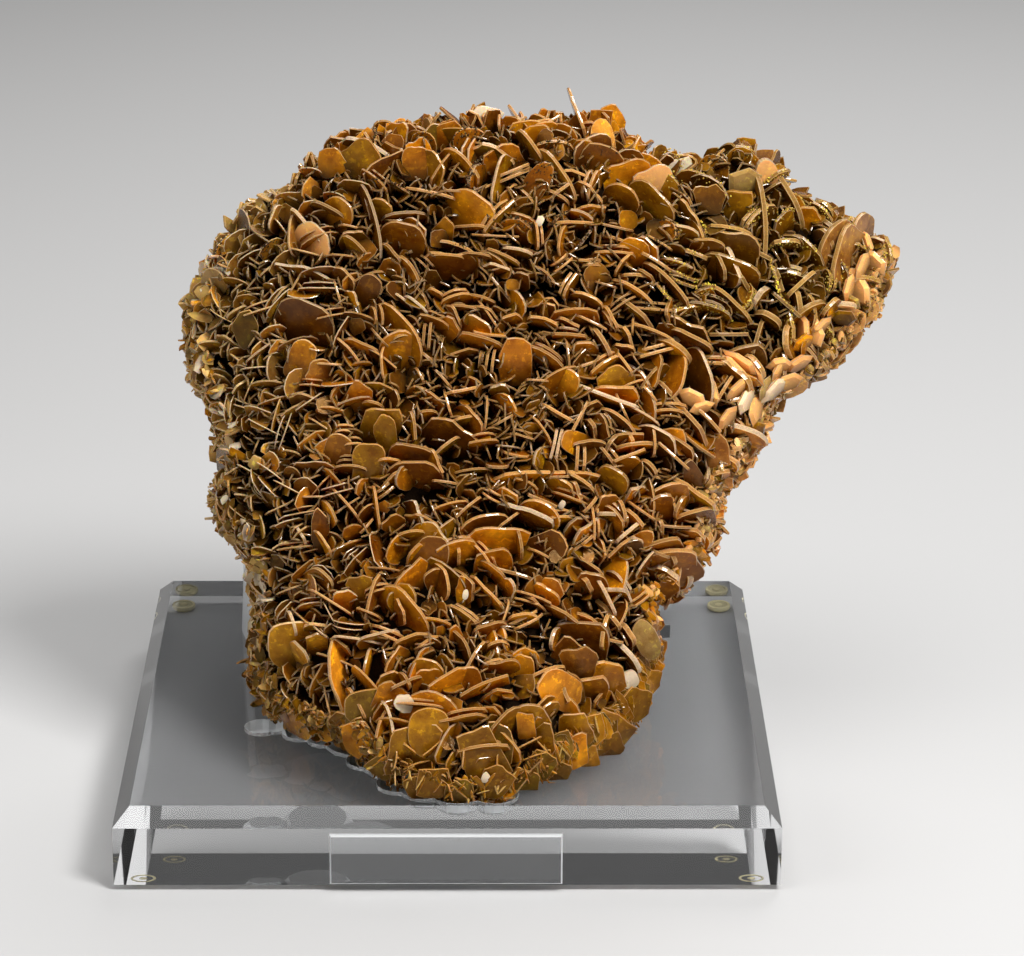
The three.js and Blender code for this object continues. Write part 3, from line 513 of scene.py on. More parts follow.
def growth_direction(u, v):
    """The way crystals grow: out of the skin, fanning outwards at the rim."""
    step = 1.5
    slope_u = np.clip((skin(u + step, v) - skin(u - step, v)) / (2 * step), -1, 1)[:, None]
    slope_v = np.clip((skin(u, v + step) - skin(u, v - step)) / (2 * step), -1, 1)[:, None]
    outward = headed(np.arctan2(v - HEART[1], u - HEART[0]))
    fan = np.clip((share_of(u, v) - EDGE_START) / (1 - EDGE_START), 0, 1)[:, None]
    return unit(ALONG_W - 0.4 * (slope_u * ALONG_U + slope_v * ALONG_V) + 0.45 * fan * outward)


def turned_plate(growth, tangent, tilt):
    """A plate's long direction, near tangent, and its inward one, tilted from where it grew."""
    along = unit(tangent - growth * (tangent @ growth))
    return along, -growth * math.cos(tilt) + np.cross(along, growth) * math.sin(tilt)


def behind_placed_crystals(u, v):
    """Whether the face or the edge of a placed crystal shows at each point of the crust."""
    placed = LARGE_CRYSTALS + SMALLER_CRYSTALS + BROKEN_SHEETS + MILKY_CRYSTALS
    row_u, row_v, lengths, bearings, turns, half_depths = np.array([row[:6] for row in placed], float).T
    heading = np.radians(bearings)
    half_width = np.where(turns > SHOWS_FACE, half_depths * np.sin(np.radians(turns)), 0)
    across_u, across_v = np.asarray(u)[:, None] - row_u, np.asarray(v)[:, None] - row_v
    x = across_u * np.cos(heading) + across_v * np.sin(heading)
    y = across_u * np.sin(heading) - across_v * np.cos(heading) - half_width
    return ((x / (0.5 * lengths)) ** 2 + (y / (half_width + 0.9)) ** 2 < 0.85).any(1)


def keep_clear_of_stand(points):
    """Lifts points out of the block, down to the floor of its recess, and off the sawn back's plane."""
    points = points.copy()
    flat = points[:, None, :2] - BLOCK_MIDDLE[:2] - RECESS_CUTS[None, :, :2]
    in_recess = (np.linalg.norm(flat, axis=-1) < RECESS_CUTS[:, 2] - WALL_GAP).any(1)
    floor = np.where(in_recess, BLOCK_TOP - RECESS_DEPTH + FLOOR_GAP, BLOCK_TOP + TOP_GAP)
    points[:, 2] = np.maximum(points[:, 2], floor)
    back = unit(ALONG_W - BACK_SLOPE * ALONG_U)
    beyond = (points - SEAT - BACK_W * ALONG_W) @ back
    return points + np.maximum(0, BACK_GAP - beyond)[:, None] * back


# ------------------------------------------------------------------ meshes


def start_afresh():
    if bpy.context.object and bpy.context.object.mode != "OBJECT":
        bpy.ops.object.mode_set(mode="OBJECT")
    bpy.ops.object.select_all(action="DESELECT")


def put_in_scene(name, data):
    obj = bpy.data.objects.new(name, data)
    bpy.context.scene.collection.objects.link(obj)
    return obj


def edit_all(obj):
    """Opens an object in edit mode with all of it selected."""
    start_afresh()
    bpy.context.view_layer.objects.active = obj
    obj.select_set(True)
    bpy.ops.object.mode_set(mode="EDIT")
    bpy.ops.mesh.select_all(action="SELECT")


def close_facing_out():
    """Turns all faces outwards and leaves edit mode."""
    bpy.ops.mesh.select_all(action="SELECT")
    bpy.ops.mesh.normals_make_consistent(inside=False)
    bpy.ops.object.mode_set(mode="OBJECT")


def points_of(obj):
    return np.array([vertex.co[:] for vertex in obj.data.vertices])


def move_points(obj, points):
    obj.data.vertices.foreach_set("co", (points * MM).ravel())
    obj.data.update()


def lift_shape(model):
    """The points and faces of a model, which is then removed."""
    points, faces = points_of(model), [tuple(polygon.vertices) for polygon in model.data.polygons]
    bpy.data.objects.remove(model, do_unlink=True)
    return points, faces


def mesh_of_copies(name, spots, faces, material, attributes):
    """One object of all the copies of a shape, at the origin with its place in its mesh. spots holds
    each copy's points in millimetres. Attributes give a number or a colour for each point."""
    count, size = spots.shape[:2]
    mesh = bpy.data.meshes.new(name)
    joined = [tuple(size * i + corner for corner in face) for i in range(count) for face in faces]
    mesh.from_pydata((spots.reshape(-1, 3) * MM).tolist(), [], joined)
    mesh.materials.append(material)
    mesh.validate()
    obj = put_in_scene(name, mesh)
    for key, values in attributes.items():
        store(obj, key, values)
    carry(obj)


def store(obj, name, values):
    """Keeps one number or one colour for each vertex."""
    values = np.asarray(values, np.float32)
    if values.ndim == 1:
        obj.data.attributes.new(name, "FLOAT", "POINT").data.foreach_set("value", values)
    else:
        colours = np.concatenate([values, np.ones((len(values), 1), np.float32)], 1)
        obj.data.attributes.new(name, "FLOAT_COLOR", "POINT").data.foreach_set("color", colours.ravel())


def carry(obj):
    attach(obj, "root")


def model_plate(corners, flat=PLATE_FLAT):
    """A crystal plate one unit in half length: a disc drawn out to its widest at half its thickness
    and in again to its other face. flat is the size of its flat faces. Returns its points and faces."""
    start_afresh()
    bpy.ops.mesh.primitive_circle_add(
        vertices=corners, radius=flat, fill_type="NOTHING", location=(0, 0, 0.5))
    plate = bpy.context.object
    bpy.ops.object.transform_apply(location=True)
    bpy.ops.object.mode_set(mode="EDIT")
    for step, size in ((-0.5, 1 / flat), (-0.5, flat)):
        bpy.ops.mesh.extrude_region_move(TRANSFORM_OT_translate={"value": (0, 0, step)})
        bpy.ops.transform.resize(value=(size, size, 1), center_override=(0, 0, 0))
    bpy.ops.mesh.edge_face_add()
    bpy.ops.mesh.poke()
    bpy.ops.object.mode_set(mode="OBJECT")
    upper = [vertex.co.z > 0.4 for vertex in plate.data.vertices]
    plate.data.vertices.foreach_set("select", upper)
    plate.data.edges.foreach_set(
        "select", [all(upper[i] for i in edge.vertices) for edge in plate.data.edges])
    plate.data.polygons.foreach_set("select", [False] * len(plate.data.polygons))
    bpy.ops.object.mode_set(mode="EDIT")
    bpy.ops.mesh.edge_face_add()
    bpy.ops.mesh.poke()
    close_facing_out()
    return lift_shape(plate)


def plate_outlines(points, count, random, kind):
    """The same plate with other outlines: round to square-cornered and a little uneven, broken along
    straight lines, or six-sided with uneven corners."""
    turn = np.arctan2(points[:, 1], points[:, 0])
    ahead, aside = np.abs(np.cos(turn)), np.abs(np.sin(turn))
    shapes = []
    for _ in range(count):
        if kind == "six-sided":
            corner = np.round(turn / (math.pi / 3)).astype(int) % 6
            edge = random.uniform(0.84, 1.1, 6)[corner]
        else:
            squareness = random.uniform(1.9, 3.6)
            edge = (ahead**squareness + aside**squareness) ** (-1 / squareness)
        if kind == "broken" or kind == "round" and random.random() < 0.45:
            sides = random.integers(4, 6) if kind == "broken" else random.integers(5, 8)
            even = np.arange(sides) * FULL_TURN / sides
            middles = random.uniform(0, 6.3) + even + random.normal(0, 0.2, sides)
            lines = random.uniform(0.7, 1.0, sides) / np.maximum(np.cos(turn[:, None] - middles), 0.25)
            edge = np.minimum(lines.min(1), 1.3 if kind == "broken" else 1.15)
        waves = sum(
            random.uniform(-0.03, 0.03) * np.cos(k * turn + random.uniform(0, 6.3)) for k in range(2, 8))
        cut = np.abs(((turn - random.uniform(-3, 3) + math.pi) % FULL_TURN) - math.pi)
        chip = 1 - random.uniform(0, 0.14) * np.exp(-((cut / 0.35) ** 2))
        shape = points.copy()
        shape[:, :2] *= (edge * (1 + waves) * chip)[:, None]
        shapes.append(shape)
    return np.array(shapes)


class Plates:
    """Crystal plates gathered one after the other and made one mesh at the end."""

    def __init__(self):
        self.rows = []

    # shade adds to the painted shade that darkens a plate towards black; a negative one takes some of it
    # away
    def add(self, tip, along, inward, half_length, half_depth, thickness, face, rim, shade=0.0, bend=0.0):
        self.rows.append((tip, along, inward, half_length, half_depth, thickness, face, rim, shade, bend))

    def build(self, name, model, count, material, random, exposed=False, kind="round"):
        """count is how many outlines the plates share. Exposed ones get no painted shade for lying below
        the skin.
        """
        points, faces = model
        tip, along, inward, half_length, half_depth, thickness, face, rim, shade, bend = (
            np.array(column, float) for column in zip(*self.rows))
        shape = plate_outlines(points, count, random, kind)[random.integers(0, count, len(tip))]
        normal = unit(np.cross(along, inward))
        half_length, half_depth, thickness, shade, bend = (
            column[:, None] for column in (half_length, half_depth, thickness, shade, bend))
        x, y, z = shape[..., 0], shape[..., 1], shape[..., 2]
        y = np.sign(y) * np.abs(y) ** np.clip(0.95 - 0.022 * half_length, 0.5, 0.85)
        bow = bend * (x * x - 0.4) + 0.3 * bend * x * y
        spots = (
            (tip + inward * half_depth)[:, None]
            + (x * half_length)[..., None] * along[:, None]
            + (y * half_depth)[..., None] * inward[:, None]
            + (z * thickness + bow)[..., None] * normal[:, None]
        ).reshape(-1, 3)
        # painted shade: each plate darkens towards its root, more by its shade offset
        sunk = (np.clip((y + 0.4) / 1.4, 0, 1) + shade).ravel()
        if not exposed:
            # painted shade that also follows how deep the point lies under the crystal tips
            u, v, w = place_in_stone(spots)
            sunk = np.maximum(np.minimum(sunk, (skin(u, v) - w - 0.5) / 7), 0.5 * sunk)
            sunk = sunk + np.repeat(shade, len(points))
        mesh_of_copies(name, keep_clear_of_stand(spots).reshape(shape.shape), faces, material, {
            "face_colour": np.repeat(face, len(points), 0),
            "rim_colour": np.repeat(rim, len(points), 0),
            "rim": np.tile(np.clip(np.hypot(points[:, 0], points[:, 1]), 0, 1), len(tip)),
            "depth": np.clip(sunk, 0, 1) ** 0.8,
        })


# ------------------------------------------------------------------ materials


def feed(tree, target, inputs):
    """Gives a node's inputs their values, or links them to the outputs of other nodes."""
    for key, value in dict(inputs).items():
        if isinstance(value, bpy.types.NodeSocket):
            tree.links.new(value, target.inputs[key])
        else:
            target.inputs[key].default_value = value


def node(tree, kind, inputs=(), **settings):
    made = tree.nodes.new(kind)
    for key, value in settings.items():
        setattr(made, key, value)
    feed(tree, made, inputs)
    return made


def new_material(name, values):
    """A material with the shader's constant values, its node tree and its shader."""
    material = bpy.data.materials.new(name)
    material.use_nodes = True
    tree = material.node_tree
    tree.nodes.clear()
    shader = node(tree, "ShaderNodeBsdfPrincipled", values)
    node(tree, "ShaderNodeOutputMaterial", {"Surface": shader.outputs["BSDF"]})
    return material, tree, shader


def attribute(tree, name, output="Fac"):
    return node(tree, "ShaderNodeAttribute", attribute_name=name).outputs[output]


def own_space(tree):
    return node(tree, "ShaderNodeTexCoord").outputs["Object"]


def ranged(tree, value, from_low, from_high, to_low=0.0, to_high=1.0):
    limits = {"From Min": from_low, "From Max": from_high, "To Min": to_low, "To Max": to_high}
    return node(tree, "ShaderNodeMapRange", {"Value": value, **limits}).outputs["Result"]


def mixed(tree, share, first, second, blend="MIX"):
    inputs = {"Factor": share, "A": first, "B": second}
    return node(tree, "ShaderNodeMix", inputs, data_type="RGBA", blend_type=blend).outputs["Result"]


def tinted(tree, first, second, share=1.0):
    return mixed(tree, share, first, second, "MULTIPLY")


def worked_out(tree, operation, *values):
    return node(tree, "ShaderNodeMath", enumerate(values), operation=operation).outputs[0]


def noise(tree, detail, roughness, **inputs):
    values = {"Detail": detail, "Roughness": roughness, **inputs}
    dimensions = "1D" if "W" in inputs else "3D"
    return node(tree, "ShaderNodeTexNoise", values, noise_dimensions=dimensions).outputs["Fac"]


def bumped(tree, height, strength, distance):
    inputs = {"Height": height, "Strength": strength, "Distance": distance}
    return node(tree, "ShaderNodeBump", inputs).outputs["Normal"]


def mottle_group():
    """Three colours in soft patches, with a fine grain, over the object's own space."""
    group = bpy.data.node_groups.get("Mottle")
    if group:
        return group
    group = bpy.data.node_groups.new("Mottle", "ShaderNodeTree")
    for name, kind, default in (
            ("Colour", "Color", (0.5, 0.5, 0.5, 1)), ("Shade", "Color", (0.2, 0.2, 0.2, 1)),
            ("Glow", "Color", (0.8, 0.8, 0.8, 1)), ("Patch Scale", "Float", 100),
            ("Grain Scale", "Float", 1500)):
        made = group.interface.new_socket(name=name, in_out="INPUT", socket_type=f"NodeSocket{kind}")
        made.default_value = default
    for name, kind in (("Colour", "Color"), ("Patches", "Float"), ("Grain", "Float")):
        group.interface.new_socket(name=name, in_out="OUTPUT", socket_type=f"NodeSocket{kind}")
    given = node(group, "NodeGroupInput").outputs
    where = own_space(group)
    patches = noise(group, 4, 0.6, Vector=where, Scale=given["Patch Scale"])
    grain = noise(group, 3, 0.65, Vector=where, Scale=given["Grain Scale"])
    shaded = mixed(group, ranged(group, patches, 0.5, 0.34), given["Colour"], given["Shade"])
    lit = mixed(group, ranged(group, patches, 0.53, 0.66), shaded, given["Glow"])
    node(group, "NodeGroupOutput", {"Colour": lit, "Patches": patches, "Grain": grain})
    return group


def mottled(tree, main, shade, glow, patch_scale, grain_scale):
    inputs = {"Colour": main, "Shade": shade, "Glow": glow,
              "Patch Scale": patch_scale, "Grain Scale": grain_scale}
    return node(tree, "ShaderNodeGroup", inputs, node_tree=mottle_group()).outputs


def crystal_material():
    """Amber plates: glossy mottled faces with some painted glow, pale rims with a dull grain and a
    painted highlight, and painted shade that darkens them towards their roots.
    """
    found = bpy.data.materials.get("wulfenite_plates")
    if found:
        return found
    material, tree, shader = new_material("wulfenite_plates", {
        "IOR": 1.5, "Specular IOR Level": 0.4, "Specular Tint": (1.0, 0.62, 0.26, 1),
        "Coat Roughness": 0.12, "Subsurface Weight": 0.3, "Subsurface Radius": (1.0, 0.35, 0.05),
        "Subsurface Scale": 0.0015,
    })
    face, rim = attribute(tree, "face_colour", "Color"), attribute(tree, "rim")
    # darker and brighter patches of the plates' own colour; the brighter ones also paint a glow of light
    # through the plate
    deeper = tinted(tree, face, (0.62, 0.5, 0.36, 1))
    brighter = tinted(tree, face, (1.45, 1.6, 1.2, 1))
    mottle = mottled(tree, face, deeper, brighter, 150, 2200)

    # growth zones that follow the plate's outline, and small clearer flaws, painted brighter as light
    # glowing through them
    outwards = worked_out(tree, "MULTIPLY_ADD", rim, 2.6, mottle["Patches"])
    zones = noise(tree, 2, 0.6, W=outwards, Scale=1.0)
    grown = tinted(tree, mottle["Colour"], ranged(tree, zones, 0.35, 0.65, 0.86, 1.12))
    spots = noise(tree, 2, 0.7, Vector=own_space(tree), Scale=420)
    flawed = tinted(tree, grown, (1.7, 2.0, 1.2, 1), ranged(tree, spots, 0.58, 0.64, 0.0, 0.75))

    # the milky crystals, whose colour has blue in it, keep little of that
    blue = node(tree, "ShaderNodeSeparateColor", {"Color": face}).outputs["Blue"]
    marked = mixed(tree, ranged(tree, blue, 0.06, 0.11, 1.0, 0.3), face, flawed)

    # a grainy band round the rim, with a painted highlight: a pale line where the rim meets the face
    band = ranged(tree, rim, 0.95, 0.97, 0.0, 0.92)
    grain = ranged(tree, mottle["Grain"], 0.35, 0.6, 0.55, 1.0)
    worn = tinted(tree, attribute(tree, "rim_colour", "Color"), grain)
    rim_with_painted_highlight = mixed(tree, ranged(tree, rim, 0.971, 0.983, 0.45, 0.0), worn, (0.98, 0.64, 0.28, 1))
    rimmed = mixed(tree, band, marked, rim_with_painted_highlight)
    feed(tree, shader, {
        # painted shade: towards their roots and deep under the tips the plates turn almost black
        "Base Color": mixed(tree, attribute(tree, "depth"), rimmed, (0.01, 0.004, 0.001, 1)),
        "Coat Weight": ranged(tree, band, 0.0, 1.0, 0.06, 0.85),
        "Roughness": ranged(tree, band, 0.0, 1.0, 0.16, 0.45),
        "Normal": bumped(tree, mottle["Grain"], 0.4, 0.0003),
    })
    return material


def matrix_material(settings):
    """Dark rusty rock, with painted shade that makes it black where it shows between the crystals."""
    material, tree, shader = new_material("brown_matrix", {"Roughness": 0.95, "Specular IOR Level": 0.1})
    dark, ochre = settings.dark_colour, settings.ochre_colour
    patches = mottled(tree, (*dark, 1), (*(0.4 * x for x in dark), 1), (*ochre, 1), 38, 700)["Colour"]
    darker = tinted(tree, patches, (0.4, 0.36, 0.3, 1))
    lighter = tinted(tree, patches, (1.7, 1.7, 1.6, 1))
    crumbs = mottled(tree, patches, darker, lighter, 330, 1900)
    relief = worked_out(tree, "ADD", crumbs["Patches"], crumbs["Grain"])
    feed(tree, shader, {
        # painted shade: the rock turns almost black where it lies close under the crystal tips
        "Base Color": mixed(tree, attribute(tree, "bare"), (0.012, 0.005, 0.001, 1), crumbs["Colour"]),
        "Normal": bumped(tree, relief, 0.9, 0.002),
    })
    return material


def clear_material(name, tint, transmission, roughness, ior=ACRYLIC_IOR):
    return new_material(name, {
        "Base Color": (*tint, 1), "Transmission Weight": transmission, "Roughness": roughness,
        "IOR": ior,
    })


def block_material(settings, carved):
    """Clear polished acrylic, frosted inside a box that spans the carved faces, in metres."""
    material, tree, shader = clear_material("acrylic_block", settings.clear_colour, 1, settings.polish)
    parts = node(tree, "ShaderNodeSeparateXYZ", {"Vector": own_space(tree)}).outputs
    along_x, along_y, along_z = (
        worked_out(tree, "COMPARE", parts[axis], (low + high) / 2, (high - low) / 2)
        for axis, (low, high) in zip("XYZ", carved))
    inside = worked_out(tree, "MULTIPLY", worked_out(tree, "MULTIPLY", along_x, along_y), along_z)
    feed(tree, shader, {"Roughness": ranged(tree, inside, 0.0, 1.0, settings.polish, settings.frost)})
    return material


def copy_of(node_name, name):
    """A copy of a CAD node with its faces merged, in edit mode with all of it selected."""
    copy = put_in_scene(name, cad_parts[node_name].data.copy())
    copy.data.materials.clear()
    edit_all(copy)
    bpy.ops.mesh.remove_doubles(threshold=MERGE_DISTANCE)
    bpy.ops.mesh.dissolve_limited(angle_limit=math.radians(1))
    bpy.ops.mesh.select_all(action="SELECT")
    return copy


# ------------------------------------------------------------------ operators


class WULFENITE_OT_matrix(bpy.types.Operator):
    """Build the rock that the crystals grow on, with its sides, its underside and its sawn back"""

    bl_idname = "wulfenite.matrix"
    bl_label = "Matrix"

    def execute(self, context):
        settings = context.scene.wulfenite_matrix
        start_afresh()
        bpy.ops.mesh.primitive_uv_sphere_add(
            segments=ROCK_SEGMENTS, ring_count=ROCK_RINGS, radius=1)
        rock = context.object
        rock.name = rock.data.name = "matrix_rock"
        x, y, z = points_of(rock).T
        climb = np.degrees(np.arccos(np.clip(z, -1, 1))) / 180
        move_points(rock, self.surface(np.arctan2(y, x), climb))
        for name, kind, scale, height in ROCK_RELIEF:
            relief = bpy.data.textures.new(name, kind)
            relief.noise_scale = scale
            displace = rock.modifiers.new(name, "DISPLACE")
            displace.texture = relief
            displace.texture_coords = "LOCAL"
            displace.strength = height * settings.lump_height
            displace.mid_level = 0.6
            bpy.ops.object.modifier_apply(modifier=displace.name)
        move_points(rock, keep_clear_of_stand(points_of(rock) / MM))
        edit_all(rock)
        close_facing_out()
        bpy.ops.object.shade_smooth_by_angle(angle=math.radians(35))
        u, v, w = place_in_stone(points_of(rock) / MM)
        # painted shade on the rock: black up to 14 mm under the crystal tips, fading out by 22 mm, weaker
        # under the foot
        under_foot = 0.7 * bell(v, -10, 14) * bell(u, 10, 50)
        store(rock, "bare", np.maximum(smooth(skin(u, v) - w, 14, 22), under_foot))
        rock.data.materials.append(matrix_material(settings))
        carry(rock)
        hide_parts("wulfenite_cluster")
        return {"FINISHED"}

    def surface(self, bearing, climb):
        """Points of the rock from its front (climb 0) over its rim to its back (climb 1)."""

        def front(u, v):
            return skin(u, v) - crust_depth(u, v) + rough(u, v)

        def rim_front(u, v):
            return front(u, v) - 9

        def rim_back(u, v):
            return np.maximum(BACK_W + BACK_SLOPE * u + 2, rim_front(u, v) - 12)

        def back(u, v):
            return np.minimum(BACK_W + BACK_SLOPE * u + 1.5 * rough(v, u), rim_back(u, v) - 3)

        stations = [  # climb, share of the way out to the rim, height
            (0.0, 0.0, front), (0.12, 0.2, front), (0.25, 0.42, front), (0.36, 0.62, front),
            (0.45, 0.8, front), (0.52, 0.93, front), (0.58, 1.02, rim_front), (0.66, 1.0, rim_back),
            (0.78, 0.85, back), (0.88, 0.6, back), (0.95, 0.3, back), (1.0, 0.0, back),
        ]
        span = reach(bearing) - OVERHANG
        rings = []
        for _, share, height in stations:
            u, v = from_heart(bearing, share * span)
            rings.append(place(u, v, height(u, v)))
        rings = np.array(rings)
        marks = np.array([mark for mark, _, _ in stations])
        index = np.clip(np.searchsorted(marks, climb, "right") - 1, 0, len(marks) - 2)
        share = ((climb - marks[index]) / (marks[index + 1] - marks[index]))[:, None]
        column = np.arange(len(bearing))
        return toward(rings[index, column], rings[index + 1, column], share)


class WULFENITE_OT_placed_crystals(bpy.types.Operator):
    """Build the crystals that stand out, each in its own place, and the broken sheets at the foot"""

    bl_idname = "wulfenite.placed_crystals"
    bl_label = "Placed Crystals"

    def execute(self, context):
        settings = context.scene.wulfenite_crust
        random = np.random.default_rng(settings.seed)
        plate = model_plate(PLACED_CORNERS)
        points, faces = model_plate(TABLET_CORNERS, TABLET_FLAT)
        tablet = points[:, (1, 0, 2)] * (1, -1, 1), faces  # a corner at each end of its length
        large, smaller, sheets, milky = (Plates() for _ in range(4))
        for rows, plates, sunk, bow in (
                (LARGE_CRYSTALS, large, 0.4, 0.02), (SMALLER_CRYSTALS, smaller, 1.6, 0.02),
                (BROKEN_SHEETS, sheets, 1.6, 0.07), (MILKY_CRYSTALS, milky, 0.4, 0)):
            for row in rows:
                self.add(plates, row, random.uniform(0, sunk), bow, settings, random)
        material = crystal_material()
        large.build("large_crystals", plate, 24, material, random)
        smaller.build("smaller_crystals", plate, 40, material, random)
        sheets.build("broken_sheets", plate, len(BROKEN_SHEETS), material, random, kind="broken")
        milky.build("milky_crystals", tablet, 32, material, random, exposed=True, kind="six-sided")
        return {"FINISHED"}

    def add(self, plates, row, sunk, bow, settings, random):
        u, v, edge, bearing, turn, half_depth, thickness = row[:7]
        tone = row[7] if len(row) > 7 else None
        face, rim = zone_colours(settings, u, v, random)
        # painted highlight: rows marked rim, white or peach get a pale rim
        if tone in ("rim", "white", "peach"):
            pale = 0.4 if tone == "peach" else 0.65
            rim = (1 - pale) * rim + pale * settings.tone("white") * random.uniform(0.8, 1.0)
        # a face marked white takes the pale colour of a painted glint
        if tone and tone != "rim":
            darkest = 0.9 if tone in ("white", "peach", "pearl") else 0.55
            face = settings.tone(tone) * random.uniform(darkest, 1.2)
        if tone in ("gold", "bronze", "olive"):
            rim = 0.5 * rim + 0.7 * settings.tone("gold")
        heading, tilt = math.radians(bearing), math.radians(turn)
        along, facing = headed(heading), headed(heading - math.pi / 2)
        inward = -ALONG_W * math.cos(tilt) + facing * math.sin(tilt)
        tip = place(u, v, skin(u, v)[0] - sunk)
        plates.add(tip, along, inward, edge / 2, half_depth, 0.8 * thickness, face, rim,
                   bend=random.normal(0, bow) * edge)


def zone_colours(settings, u, v, random):
    """Face and rim colours where a crystal stands: dusty on the left, yellower out on the arm,
    milky along the arm's lower edge, golden on the lip, brighter low down, painted shade at the top left."""
    dusty = float(smooth(-u, 20, 75))
    yellow = float(smooth(u, 50, 105) * smooth(v, 110, 150))
    near_rim = float(smooth(share_of(u, v), 0.84, 0.93)[0])
    milky = near_rim * float(smooth(u, 84, 104) * (1 - smooth(v, 166, 180)))
    golden = float(smooth(-v, -45, -5))
    low = float(smooth(-v, -80, -30))
    # painted shade: darker at the top left
    shaded = float(smooth(v, 115, 155) * smooth(-u, -45, 25))
    gold, olive = settings.tone("gold"), settings.tone("olive")
    pick = random.random()
    tone = next(name for name, upto in FACE_TONES if pick < upto)
    dust = olive + (settings.tone("straw") - olive) * 0.45 * random.random()
    face = toward(settings.tone(tone), dust, 0.7 * dusty)
    face = toward(face, gold, 0.4 * yellow)
    face = toward(face, settings.tone("peach"), 0.8 * milky)
    face = toward(face, gold, 0.5 * golden)
    face = face * (1 + dusty * random.random() - 0.4 * yellow + 0.4 * low - 0.3 * shaded)
    # along the left edge the rims take the dull colour, which also holds a painted highlight
    rim = toward(settings.tone("rim"), settings.tone("dull_rim_with_painted_highlight"), 0.8 * dusty)
    rim = toward(rim, settings.tone("druse"), 0.35 * yellow)
    # painted highlight: a share of the rims, more on the left, turn pale as if catching the light
    if random.random() < 0.12 + 0.1 * dusty:
        rim = toward(rim, settings.tone("white"), 0.45)
    face = face * random.uniform(0.55, 1.25)
    rim = rim * random.uniform(0.45, 1.08) * (1 - 0.25 * yellow - 0.2 * shaded)
    return face, np.clip(rim, 0, 1)


